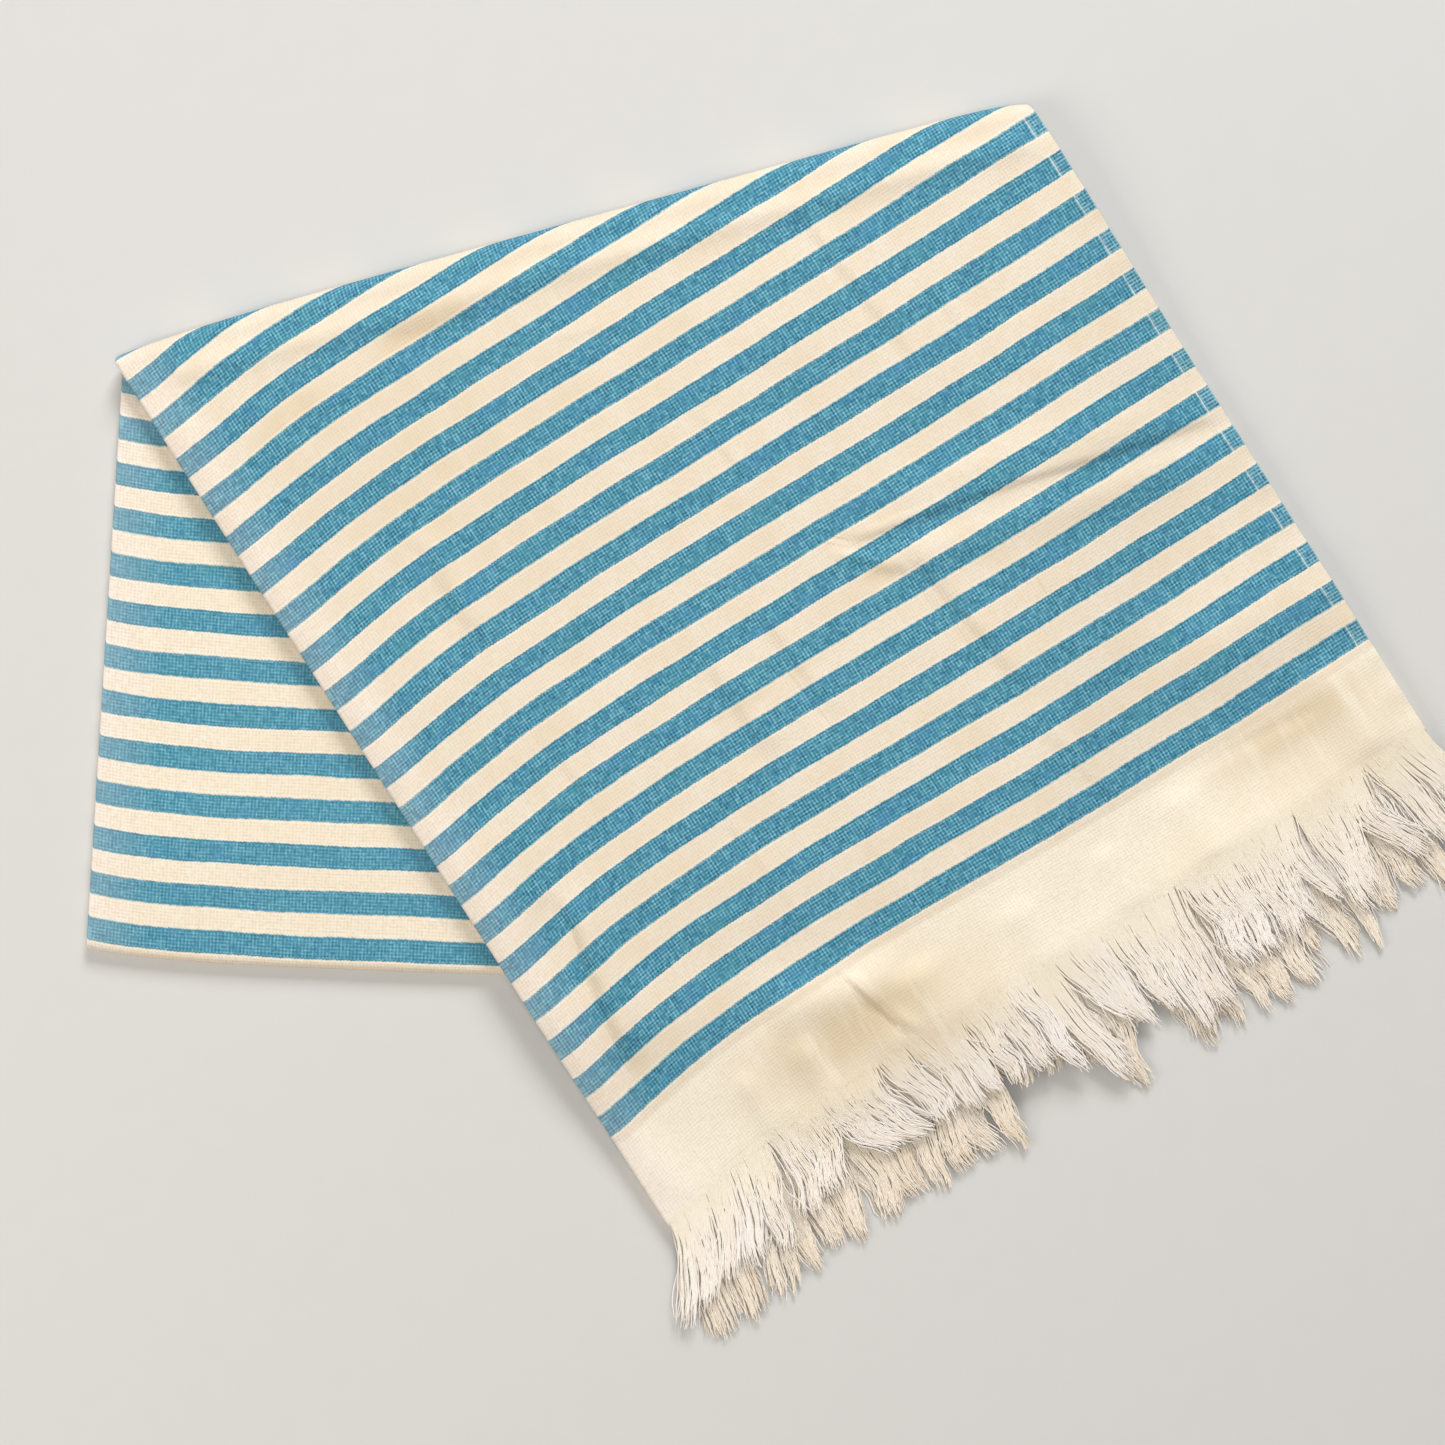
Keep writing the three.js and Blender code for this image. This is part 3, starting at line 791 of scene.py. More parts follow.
@dataclass
class FringeEnd:
    """The loose warp yarns of one end of the towel, in two layers."""

    plan: FoldPlan
    name: str
    locks: tuple[Lock, ...]
    ranks: Pair
    extra: float
    seed: int
    lie: YarnLie = YarnLie()
    yarns: tuple[int, int] = (1380, 1040)
    points: int = 14
    radius: float = 0.34
    root_swell: float = 0.3
    swell_rate: float = 2.5
    tip_loss: float = 0.4
    tip_share: float = 0.15
    corners: tuple[Pair, ...] = ((0.0, 0.9), (0.95, -0.5), (-0.95, -0.5))
    soft_lean: float = 0.6
    soft_up: float = 0.85
    above_floor: float = 0.02
    settle_from: float = 14.0
    settle_to: float = 80.0
    settle_pitch: float = 1.55

    def level(self, place: Array, rank: float) -> Array:
        """Height of a layer's underside, closing up towards the tips.

        Args:
            place: plan places, the last axis holding x and y.
            rank: the layer's number, from 0 for the lowest.

        Returns:
            Millimetres above the floor.
        """
        plan = self.plan
        away = place - np.array(plan.corner)
        across = away @ direction(plan.weft_angle)
        past = away @ direction(plan.warp_angle) - plan.cloth_end(across)
        share = np.clip((past - self.settle_from) / (self.settle_to - self.settle_from), 0, 1)
        own = rank * mix(plan.pitch_at_edge, self.settle_pitch, share)
        return plan.lifted(place) + plan.swell(place) + own

    def lay_out(self, rng: np.random.Generator, which: int) -> Layout:
        """Shares one layer's yarns out among the locks.

        Args:
            rng: the seeded source of unevenness.
            which: 0 for the layer that shows, 1 for the one behind it.

        Returns:
            Each yarn's lock, start, tip and reach.
        """
        lie, count, many = self.lie, self.yarns[which], len(self.locks)
        width = self.plan.half_width - which * self.plan.inner_short
        base, tip, reach, tip_width = np.array(self.locks).T
        tip = tip + rng.normal(0, lie.hidden_tip_drift * which, many)
        reach = reach * (1 - lie.hidden_loss * which * rng.random(many)) - self.extra / 2
        edges = np.concatenate([[lie.margin], (base[1:] + base[:-1]) / 2, [width - lie.margin]])

        start = np.sort(rng.uniform(0, 1, count) + np.arange(count))
        start = start * (width - 2 * lie.margin) / count + lie.margin
        lock = np.searchsorted(edges, start + rng.normal(0, lie.lock_mixing, count)) - 1
        lock = np.clip(lock, 0, many - 1)
        in_lock = (2 * start - edges[lock] - edges[lock + 1]) / (edges[lock + 1] - edges[lock])
        in_lock = np.clip(in_lock, -lie.widest, lie.widest)

        fan = in_lock * tip_width[lock] / 2 * rng.uniform(*lie.fan, count)
        end = tip[lock] + fan + rng.normal(0, lie.tip_drift, count)
        length = reach[lock] * (rng.uniform(*lie.length, count) - lie.side_loss * in_lock**2)
        stray = (rng.random(count) < lie.strays) & (start > lie.strays_from)
        leftmost = tip[0] - tip_width[0] / 2 - lie.corner_room
        end = np.maximum(end + stray * rng.normal(0, lie.stray_drift, count), leftmost)
        length = length * np.where(stray, rng.uniform(*lie.stray_length, count), 1.0)
        return Layout(lock, start, end, length, in_lock)

    def layer(self, rng: np.random.Generator, which: int) -> Strands:
        """Lays one layer's yarns.

        Args:
            rng: the seeded source of unevenness.
            which: 0 for the layer that shows, 1 for the one behind it.

        Returns:
            The yarns as lines of points.
        """
        plan, lie = self.plan, self.lie
        yarns = self.lay_out(rng, which)
        lock, count, many = yarns.lock, self.yarns[which], len(self.locks)
        s = np.linspace(0, 1, self.points)
        sweep = (yarns.tip - yarns.start)[:, None]
        across = yarns.start[:, None] + sweep * curve(s, lie.across_pulls)
        inset = rng.uniform(*lie.inset, count)[:, None]
        past = -inset * (1 - s) ** 3 + yarns.reach[:, None] * curve(s, lie.along_pulls)

        curl = rng.normal(0, lie.lock_curl, many)[lock][:, None]
        curl = curl + rng.normal(0, lie.own_curl, (count, 1)) * s
        across = across + curl * np.sin(math.pi * s)
        sway = rng.uniform(0, TURN, many)[lock] + rng.normal(0, lie.sway_drift, count)
        turns = yarns.reach / rng.uniform(*lie.sway_length, many)[lock]
        swing = rng.uniform(*lie.lock_sway, many)[lock] * rng.uniform(*lie.own_sway, count)
        phase = rng.uniform(0, TURN, count)[:, None]
        kinks = yarns.reach[:, None] / rng.uniform(*lie.kink_length, count)[:, None]
        late = rng.uniform(*lie.late, many)[lock][:, None] + rng.normal(0, lie.late_drift, (count, 1))
        free = smooth((s - late) * lie.free_rate)
        across = across + free * swing[:, None] * np.sin(TURN * s * turns[:, None] + sway[:, None])
        across = across + free * rng.uniform(*lie.kink, (count, 1)) * np.sin(TURN * s * kinks + phase)

        width = plan.half_width - which * plan.inner_short
        edge = plan.cloth_end(np.clip(yarns.start, 0, width)) + self.extra
        place = plan.upper_plan(across, edge[:, None] + past)
        ahead = np.gradient(place, axis=1)
        ahead = ahead / np.linalg.norm(ahead, axis=-1, keepdims=True)
        side = np.stack([-ahead[..., 1], ahead[..., 0]], axis=-1)

        dome = rng.uniform(*lie.dome, many)[lock] * np.maximum(1 - yarns.in_lock**2, 0)
        wave, wave_rate = lie.lift_wave
        loose = rng.uniform(*lie.loose, count)[:, None] + wave * np.sin(wave_rate * s + phase)
        root = plan.thickness / 2 + rng.uniform(*lie.root, count)[:, None]
        seat = mix(root, self.radius, smooth((s - late) * lie.seat_rate))
        z = self.level(place, self.ranks[which]) + seat
        z = z + (dome[:, None] * (1 - lie.dome_loss * s) + loose) * free
        tone = lie.lock_tone * rng.uniform(0, 1, many)[lock]
        tone = tone + (1 - lie.lock_tone) * rng.random(count) ** lie.tone_power
        return Strands(raised(place, z), side, tone, yarns.start, past, s - late)

    def tubes(self, yarns: Strands) -> tuple[Array, Array]:
        """Puts a three-sided tube round each yarn.

        Args:
            yarns: both layers' yarns.

        Returns:
            The tubes' corners in millimetres and their soft shading directions, by yarn, point along
            it and corner.
        """
        s = np.linspace(0, 1, self.points)
        swell = self.root_swell * (1 - smooth(s * self.swell_rate))
        thin = self.tip_loss * smooth((s - 1 + self.tip_share) / self.tip_share)
        radius = self.radius * (1 + swell - thin)
        across = np.concatenate([yarns.side, np.zeros((*yarns.side.shape[:2], 1))], axis=-1)
        above = np.broadcast_to(np.array([0.0, 0.0, 1.0]), across.shape)
        corners = [(across * c + above * d) * radius[:, None] for c, d in self.corners]
        points = np.stack([yarns.line + corner for corner in corners], axis=2)
        points[..., 2] = np.maximum(points[..., 2], self.above_floor)
        soft = [across * self.soft_lean * c + above * self.soft_up for c, _ in self.corners]
        normals = np.stack(soft, axis=2)
        return points, normals / np.linalg.norm(normals, axis=-1, keepdims=True)

    def build(self) -> bpy.types.Object:
        """Makes both layers' yarns as one mesh.

        Returns:
            The object, with the places on the unfolded cloth and the yarns' tones as UV maps.
        """
        rng = np.random.default_rng(self.seed)
        layers = [self.layer(rng, which) for which in (0, 1)]
        yarns = Strands(*(np.concatenate(pair) for pair in zip(*layers)))
        points, normals = self.tubes(yarns)
        count, _, sides = points.shape[:3]
        index = np.arange(count * self.points * sides).reshape(count, self.points, sides)
        ahead = np.roll(index, -1, axis=2)
        quads = np.stack([index[:, :-1], index[:, 1:], ahead[:, 1:], ahead[:, :-1]], axis=-1)
        faces = quads.reshape(-1, 4).tolist()
        faces += index[:, 0, :].tolist() + index[:, -1, ::-1].tolist()
        shade = np.empty((*index.shape, 2))
        shade[..., 0] = yarns.tone[:, None, None]
        shade[..., 1] = yarns.share[:, :, None]
        flat = np.empty((*index.shape, 2))
        flat[..., 0] = yarns.start[:, None, None] * MM
        flat[..., 1] = -yarns.past[:, :, None] * MM
        maps = {"flat": flat.reshape(-1, 2), "shade": shade.reshape(-1, 2)}
        return mesh_object(self.name, points.reshape(-1, 3) * MM, faces, maps, normals.reshape(-1, 3))


def mesh_object(
    name: str, points: Array, faces: list[list[int]], maps: dict[str, Array], normals: Array | None = None
) -> bpy.types.Object:
    """Makes a smooth-shaded mesh object with UV maps.

    Args:
        name: the piece's name.
        points: vertices in metres.
        faces: vertex numbers of each face.
        maps: a UV place for each vertex, by the map's name.
        normals: a shading direction for each vertex, or None for the mesh's own.

    Returns:
        The object, linked to the scene.
    """
    mesh = bpy.data.meshes.new(name)
    mesh.from_pydata(points.tolist(), [], faces)
    mesh.update()
    corner = np.empty(len(mesh.loops), dtype=np.int32)
    mesh.loops.foreach_get("vertex_index", corner)
    for key, uv in maps.items():
        layer = mesh.uv_layers.new(name=key)
        layer.data.foreach_set("uv", uv[corner].astype(np.float32).ravel())
    mesh.polygons.foreach_set("use_smooth", np.ones(len(mesh.polygons), dtype=bool))
    if normals is not None:
        mesh.normals_split_custom_set_from_vertices(normals.tolist())
    made = bpy.data.objects.new(name, mesh)
    bpy.context.scene.collection.objects.link(made)
    return made


class Wire:
    """A socket's output, with Python's arithmetic making Math nodes."""

    def __init__(self, graph: "Graph", socket: bpy.types.NodeSocket) -> None:
        """Keeps the socket and the graph that it is in."""
        self.graph = graph
        self.socket = socket

    def __add__(self, other: "Wire | float") -> "Wire":
        """Sum."""
        return self.graph.math("ADD", self, other)

    __radd__ = __add__

    def __sub__(self, other: "Wire | float") -> "Wire":
        """Difference."""
        return self.graph.math("SUBTRACT", self, other)

    def __rsub__(self, other: float) -> "Wire":
        """Difference from a number."""
        return self.graph.math("SUBTRACT", other, self)

    def __mul__(self, other: "Wire | float") -> "Wire":
        """Product."""
        return self.graph.math("MULTIPLY", self, other)

    __rmul__ = __mul__

    def __truediv__(self, other: "Wire | float") -> "Wire":
        """Quotient."""
        return self.graph.math("DIVIDE", self, other)

    def __abs__(self) -> "Wire":
        """Size without sign."""
        return self.graph.math("ABSOLUTE", self)

    def fract(self) -> "Wire":
        """What is left past the whole number below."""
        return self.graph.math("FRACT", self)

    def floor(self) -> "Wire":
        """The whole number below."""
        return self.graph.math("FLOOR", self)

    def sine(self) -> "Wire":
        """Sine of an angle in radians."""
        return self.graph.math("SINE", self)

    def clamped(self) -> "Wire":
        """Kept from 0 to 1."""
        return self.graph.math("MAXIMUM", self.graph.math("MINIMUM", self, 1.0), 0.0)

    def near(self, value: float, reach: float) -> "Wire":
        """1 at a value, falling evenly to 0 at a distance from it."""
        return (1 - abs(self - value) / reach).clamped()


Feed = Wire | float | tuple[float, ...]
Colour = tuple[float, float, float, float]


class Graph:
    """A material's nodes, with short ways to add and join them."""

    def __init__(self, name: str) -> None:
        """Makes an empty material that uses nodes."""
        self.material = bpy.data.materials.new(name)
        self.material.use_nodes = True
        self.tree = self.material.node_tree
        self.tree.nodes.clear()

    def node(
        self,
        kind: str,
        settings: dict[str, object] | None = None,
        feeds: dict[str | int, Feed] | None = None,
    ) -> bpy.types.Node:
        """Adds a node.

        Args:
            kind: the node's type.
            settings: properties, or stops for a ramp, set before the sockets.
            feeds: values or wires by socket name or number.

        Returns:
            The node.
        """
        made = self.tree.nodes.new(kind)
        for key, value in (settings or {}).items():
            if key == "stops":
                ramp = made.color_ramp
                while len(ramp.elements) < len(value):
                    ramp.elements.new(0.5)
                for element, (place, colour) in zip(ramp.elements, value):
                    element.position = place
                    element.color = colour
            else:
                setattr(made, key, value)
        for key, value in (feeds or {}).items():
            if isinstance(value, Wire):
                self.tree.links.new(value.socket, made.inputs[key])
            else:
                made.inputs[key].default_value = value
        return made

    def wire(self, node: bpy.types.Node, output: str | int = 0) -> Wire:
        """A node's output as a wire."""
        return Wire(self, node.outputs[output])

    def math(self, operation: str, *values: Feed) -> Wire:
        """Adds a Math node."""
        feeds = dict(enumerate(values))
        return self.wire(self.node("ShaderNodeMath", {"operation": operation}, feeds))

    def blend(self, share: Feed, a: Feed, b: Feed) -> Wire:
        """Mixes two colours."""
        return self.wire(self.node("ShaderNodeMix", {"data_type": "RGBA"}, {0: share, 6: a, 7: b}), 2)

    def point(self, x: Feed, y: Feed, z: Feed = 0.0) -> Wire:
        """Joins three numbers as a vector."""
        return self.wire(self.node("ShaderNodeCombineXYZ", None, {0: x, 1: y, 2: z}))

    def noise(self, vector: Wire, scale: float, detail: float, rough: float) -> Wire:
        """Smooth noise around a half."""
        feeds = {"Vector": vector, "Scale": scale, "Detail": detail, "Roughness": rough}
        return self.wire(self.node("ShaderNodeTexNoise", None, feeds))

    def speckle(self, x: Feed, y: Feed) -> Wire:
        """A chance number from 0 to 1 for each cell."""
        feeds = {"Vector": self.point(x, y)}
        return self.wire(self.node("ShaderNodeTexWhiteNoise", {"noise_dimensions": "2D"}, feeds))

    def bump(self, height: Wire, strength: float, distance: float, under: Wire | None = None) -> Wire:
        """Turns a height into a normal, over another normal where one is given."""
        feeds = {"Height": height, "Strength": strength, "Distance": distance}
        if under is not None:
            feeds["Normal"] = under
        return self.wire(self.node("ShaderNodeBump", None, feeds))

    def map_uv(self, name: str) -> tuple[Wire, Wire]:
        """One of the piece's own UV maps, as two numbers."""
        uv = self.wire(self.node("ShaderNodeUVMap", {"uv_map": name}))
        split = self.node("ShaderNodeSeparateXYZ", None, {0: uv})
        return self.wire(split, 0), self.wire(split, 1)

    def unfolded(self) -> tuple[Wire, Wire]:
        """Places across and along the unfolded cloth, in millimetres."""
        u, v = self.map_uv("flat")
        return u * MM_PER_METRE, v * MM_PER_METRE

    def finish(self, surface: dict[str | int, Feed]) -> bpy.types.Material:
        """Ends the graph in a Principled shader with the given sockets."""
        shader = self.node("ShaderNodeBsdfPrincipled", None, surface)
        self.node("ShaderNodeOutputMaterial", None, {0: self.wire(shader)})
        return self.material

    def cotton(self, colour: Wire, rough: Wire, normal: Wire, sheen: float) -> bpy.types.Material:
        """Ends the graph as soft cotton, with little shine and some sheen."""
        surface = {"Base Color": colour, "Roughness": rough, "Normal": normal}
        soft = {"Specular IOR Level": 0.25, "Sheen Weight": sheen, "Sheen Roughness": 0.5}
        return self.finish(surface | soft)


def srgb(red: int, green: int, blue: int) -> Colour:
    """A colour from its screen values, from 0 to 255."""
    return (*[((c / 255 + 0.055) / 1.055) ** 2.4 for c in (red, green, blue)], 1.0)


@dataclass(frozen=True)
class Cloud:
    """A soft, uneven pattern on the unfolded cloth, in steps for each millimetre."""

    across: float
    along: float
    depth: float
    detail: float
    rough: float

    def at(self, g: Graph, u: Wire, v: Wire) -> Wire:
        """The pattern's value, around a half."""
        place = g.point(u * self.across, v * self.along, self.depth)
        return g.noise(place, 1.0, self.detail, self.rough)


@dataclass(frozen=True)
class ShadePatch:
    """A soft oval of painted shade, in a warmer, deeper cream, placed on the unfolded cloth in
    millimetres.
    """

    across: float
    along: float
    half_across: float
    half_along: float
    strength: float

    def share(self, u: Wire, v: Wire) -> Wire:
        """How strong the patch is at each place."""
        x = (u - self.across) / self.half_across
        y = (v - self.along) / self.half_along
        left = (1 - x * x - y * y).clamped()
        return left * left * self.strength


# Painted shade: warm, deeper ovals where the cloth's dips and slopes lie in shade.
SHADE_PATCHES = (
    ShadePatch(138, 26, 84, 22, 0.36),
    ShadePatch(150, 8, 112, 62, 0.42),
    ShadePatch(96, 40, 50, 20, 0.2),
    ShadePatch(414, 42, 72, 20, 0.42),
    ShadePatch(424, 22, 90, 50, 0.32),
    ShadePatch(330, 8, 50, 26, 0.16),
    ShadePatch(120, 400, 120, 130, 0.28),
    ShadePatch(178, 203, 30, 10, 0.55),
    ShadePatch(217, 205, 28, 10, 0.55),
    ShadePatch(276, 226, 24, 14, 0.5),
    ShadePatch(60, 458, 36, 16, 0.4),
    ShadePatch(146, 459, 44, 16, 0.42),
    ShadePatch(430, 470, 50, 60, 0.22),
    ShadePatch(120, 985, 60, 130, 0.25),
)


@dataclass(frozen=True)
class Fold:
    """A sharp, fine crease on the unfolded cloth, from one place to another in millimetres."""

    start: Pair
    end: Pair
    height: float
    reach: float
    scale: float = 3.5
    fade_rate: float = 4.0

    def lift(self, u: Wire, v: Wire) -> Wire:
        """Height of the crease's step.

        Args:
            u: places across the unfolded cloth.
            v: places along it.

        Returns:
            Millimetres, fading out at both ends.
        """
        run = Vector(self.end) - Vector(self.start)
        length = run.length
        x, y = u - self.start[0], v - self.start[1]
        ahead = (x * run.x + y * run.y) / length**2
        aside = (y * run.x - x * run.y) / (length * self.reach)
        near = (1 - aside * aside).clamped()
        fade = ((0.5 - abs(ahead - 0.5)) * self.fade_rate).clamped()
        return aside * near * near * fade * (self.scale * self.height)


FOLDS = (
    Fold((262, 247), (330, 236), -0.16, 5),
    Fold((316, 239), (406, 215.5), -0.17, 5.5),
    Fold((392, 219.5), (462, 199.5), -0.16, 5.5),
    Fold((253, 258), (272, 241), -0.2, 2.6),
    Fold((145, 56), (159, 0), 0.24, 3.4),
    Fold((283, 236), (297, 150), 0.16, 5),
    Fold((206, 213), (212, 158), 0.12, 2.4),
    Fold((342, 190), (344, 120), 0.1, 2.4),
)


@dataclass(frozen=True)
class StripedWeave:
    """Undyed cotton warp with undyed and blue-green weft, in even stripes."""

    half_width: float
    middle: float
    first_stripe: float = 63.3
    stripe_pitch: float = 24.1
    stripe_half: float = 6.0
    stripe_blur: float = 0.5
    band_lap: float = 2.0
    band_fade: float = 3.0
    wobble_depth: float = 2.2
    tooth_depth: float = 0.35
    rib_tooth: float = 0.2
    rib_pitch: float = 1.85
    pick_pitch: float = 1.8
    grain_pitch: Pair = (1.17, 1.4)
    light_dash: float = 0.62
    deep_dash: float = 0.7
    dash_shift: float = 9.0
    crest_gain: float = 1.4
    crest_cut: float = 0.1
    cream: Colour = srgb(237, 227, 211)
    # Warm cream: for the random warm mottle, and as painted shade in the hollows between threads.
    cream_warm: Colour = srgb(230, 211, 181)
    cream_pale: Colour = srgb(252, 247, 238)
    band_cream: Colour = srgb(253, 244, 225)
    # The painted shade's colour, a warm, deeper cream.
    painted_shade: Colour = srgb(212, 187, 144)
    teal: Colour = srgb(74, 142, 166)
    teal_dark: Colour = srgb(28, 86, 118)
    teal_light: Colour = srgb(140, 200, 214)
    teal_green: Colour = srgb(74, 146, 156)
    teal_blue: Colour = srgb(74, 138, 178)
    selvedge: Colour = srgb(150, 190, 198)
    # Painted highlight along the left fold: a pale, slightly pink cream, and how far it reaches.
    fold_highlight: Colour = srgb(250, 239, 236)
    fold_highlight_reach: float = 30.0
    # How softly the rear panel's painted light sets in.
    rear_blur: float = 40.0
    selvedge_width: float = 5.9
    selvedge_blur: float = 0.4
    line_middle: float = 6.4
    line_half: float = 0.65
    mottle: Cloud = Cloud(0.05, 0.035, 9.7, 3.0, 0.55)
    # Streaks along the warp that break up the painted shade.
    shade_streaks: Cloud = Cloud(0.11, 0.016, 1.3, 3.0, 0.6)
    wobble: Cloud = Cloud(0.022, 0.03, 5.2, 1.0, 0.5)
    drift: Cloud = Cloud(0.035, 0.06, 3.1, 3.0, 0.6)

    @property
    def band_end(self) -> float:
        """Where the plain end band gives way to the striped cloth."""
        return self.first_stripe - 2 * self.stripe_half

    def undyed(self, g: Graph, u: Wire, v: Wire, from_end: Wire) -> Wire:
        """The undyed cotton's colour without its weave, paler in the plain end bands.

        Args:
            g: the material's graph.
            u: places across the unfolded cloth.
            v: places along it.
            from_end: distances from the nearer end.

        Returns:
            The colour, with its warm patches.
        """
        warm = ((self.mottle.at(g, u, v) - 0.5) * 3.0 + 0.35).clamped() * 0.6
        plain = ((self.band_end + self.band_lap - from_end) / self.band_fade).clamped()
        colour = g.blend(warm, self.cream, self.cream_warm)
        colour = g.blend(plain * 0.85, colour, self.band_cream)
        # Painted shade: soft warm ovals, broken into streaks along the warp.
        shade_share: Wire | float = 0.0
        for patch in SHADE_PATCHES:
            shade_share = patch.share(u, v) + shade_share
        streaked_shade = shade_share * ((self.shade_streaks.at(g, u, v) - 0.5) * 3.2 + 1.0).clamped()
        return g.blend(streaked_shade.clamped(), colour, self.painted_shade)

    def material(self) -> bpy.types.Material:
        """Builds the woven finish on the unfolded cloth's sizes."""
        return WovenGraph(self).woven()


class WovenGraph(Graph):
    """The striped weave's nodes, mixed from a place's distances and its threads."""

    def __init__(self, look: StripedWeave) -> None:
        """Works out where a place lies on the stripes, then the dashes of the threads there.

        Args:
            look: the weave's sizes and colours.
        """
        super().__init__("striped_weave")
        self.look = look
        u, v = self.unfolded()
        v = v + (look.wobble.at(self, u, v) - 0.5) * look.wobble_depth
        self.u, self.v = u, v
        self.from_end = self.math("MINIMUM", v, 2 * look.middle - v)
        stripes = (self.from_end - look.first_stripe) / look.stripe_pitch + 0.5
        self.from_stripe = abs(stripes.fract() - 0.5) * look.stripe_pitch
        self.past_band = (self.from_end - look.band_end).clamped()
        # Painted light: the rear panel is painted paler, with softer painted thread shading.
        self.rear = ((v - look.middle) / look.rear_blur + 0.5).clamped()
        # Painted highlight along the left fold.
        self.fold_highlight_share = u.near(0.0, look.fold_highlight_reach)

        ribs, picks = u / look.rib_pitch, v / look.pick_pitch
        self.rib, pick = (ribs * TURN).sine(), (picks * TURN).sine()
        self.end, row = ribs.floor(), picks.floor()
        light_warp = self.speckle(self.end, self.dash(self.end, picks, look.light_dash, 5.0))
        light_weft = self.speckle(self.dash(row, ribs, look.light_dash, 8.0), row + 0.5)
        deep_warp = self.speckle(self.end + 0.5, self.dash(self.end, picks, look.deep_dash, 1.0))
        deep_weft = self.speckle(self.dash(row, ribs, look.deep_dash, 2.0), row + 0.25)
        across, along = look.grain_pitch
        self.fine = self.speckle((u / across).floor(), (v / along).floor())
        # Painted highlight and shade of the weave: the threads' crests are painted lighter and the
        # hollows between them darker, the same heights that feed the bump.
        warp = self.crest(self.rib) * light_warp
        self.weft = self.crest(pick) * light_weft
        self.deep = self.crest(self.rib, -1) * deep_warp + self.crest(pick, -1) * deep_weft
        self.hatch = warp * 0.62 + self.weft * 0.55 - self.deep * 0.5

    def dash(self, yarn: Wire, along: Wire, rate: float, row: float) -> Wire:
        """The number of the dash that a place lies in, along its yarn."""
        return (along * rate + self.speckle(yarn, row) * self.look.dash_shift).floor()

    def crest(self, wave: Wire, side: int = 1) -> Wire:
        """The upper part of a wave, or with side -1 its lower part, from 0 to 1."""
        return (wave * (side * self.look.crest_gain) - self.look.crest_cut).clamped()

    def dyed(self) -> Wire:
        """How much of a place is dyed, with the stripes' edges toothed by the warp."""
        look = self.look
        tooth = (self.speckle(self.end, 3.0) - 0.5) * look.tooth_depth + self.rib * look.rib_tooth
        inside = (look.stripe_half - self.from_stripe + tooth) / look.stripe_blur + 0.5
        return inside.clamped() * self.past_band

    def cream(self) -> Wire:
        """The undyed cloth with its weave, paler beside the stripes, with painted light: paler behind on
        the rear panel, a pale painted highlight at the left fold, and painted shade in the hollows
        between threads.

        Returns:
            The colour.
        """
        look = self.look
        colour = look.undyed(self, self.u, self.v, self.from_end)
        # Painted light: the rear panel paler.
        colour = self.blend(self.rear * 0.5, colour, look.band_cream)
        # Painted highlight along the left fold.
        colour = self.blend(self.fold_highlight_share * 0.5, colour, look.fold_highlight)
        beside = self.from_stripe.near(look.stripe_half + 0.9, 0.8) * 0.5
        colour = self.blend(beside * self.past_band, colour, look.cream_pale)
        # Painted shade: the hollows between threads, with a random speckle, take more of the warm cream,
        # most past the plain band.
        grain = (0.42 - self.hatch * 0.9 - (self.fine - 0.5) * 0.6).clamped()
        return self.blend(grain * (0.42 + self.past_band * 0.36), colour, look.cream_warm)

    def blue(self) -> Wire:
        """The stripes with their weave, painted paler on the rear panel and with a painted highlight at
        the left fold, and the paler selvedge with its white line.

        Returns:
            The colour.
        """
        look = self.look
        # Painted light: the rear panel's blue paler, its thread shading softer.
        contrast = 0.54 - self.rear * 0.22
        # The threads' tone: partly the undyed warp showing lighter among the blue weft, partly painted
        # highlight on the crests and painted shade in the hollows.
        tone = 0.48 + self.rear * 0.07 + self.hatch * contrast + (self.fine - 0.5) * 0.2
        stops = [(0.0, look.teal_dark), (0.5, look.teal), (1.0, look.teal_light)]
        colour = self.wire(self.node("ShaderNodeValToRGB", {"stops": stops}, {0: tone.clamped()}))
        drift = look.drift.at(self, self.u, self.v)
        colour = self.blend(((drift - 0.56) * 5).clamped() * 0.55, colour, look.teal_green)
        colour = self.blend(((0.47 - drift) * 5).clamped() * 0.45, colour, look.teal_blue)
        rim = self.from_stripe.near(look.stripe_half - 0.6, 0.7)
        colour = self.blend(rim * 0.12, colour, look.teal_dark)
        # Painted highlight along the left fold.
        colour = self.blend(self.fold_highlight_share * 0.12, colour, look.fold_highlight)
        to_edge = look.half_width - abs(self.u)
        band = ((look.selvedge_width - to_edge) / look.selvedge_blur + 0.5).clamped()
        lanes = 0.16 + self.weft * 0.9 - self.deep * 0.2
        colour = self.blend((band * lanes).clamped(), colour, look.selvedge)
        line = to_edge.near(look.line_middle, look.line_half)
        return self.blend(line * (0.35 + self.fine * 0.5), colour, look.cream_pale)

    def woven(self) -> bpy.types.Material:
        """Joins the colours and the relief of the threads and of the sharp creases.

        Returns:
            The material.
        """
        dyed = self.dyed()
        threads = self.bump(self.hatch + self.fine * 0.3 + dyed * 0.15, 0.45, 0.2 * MM)
        crease: Wire | float = 0.0
        for fold in FOLDS:
            crease = fold.lift(self.u, self.v) + crease
        return self.cotton(
            self.blend(dyed, self.cream(), self.blue()),
            0.86 + (self.fine - 0.5) * 0.15,
            self.bump(crease, 1.0, MM, threads),
            0.1,
        )


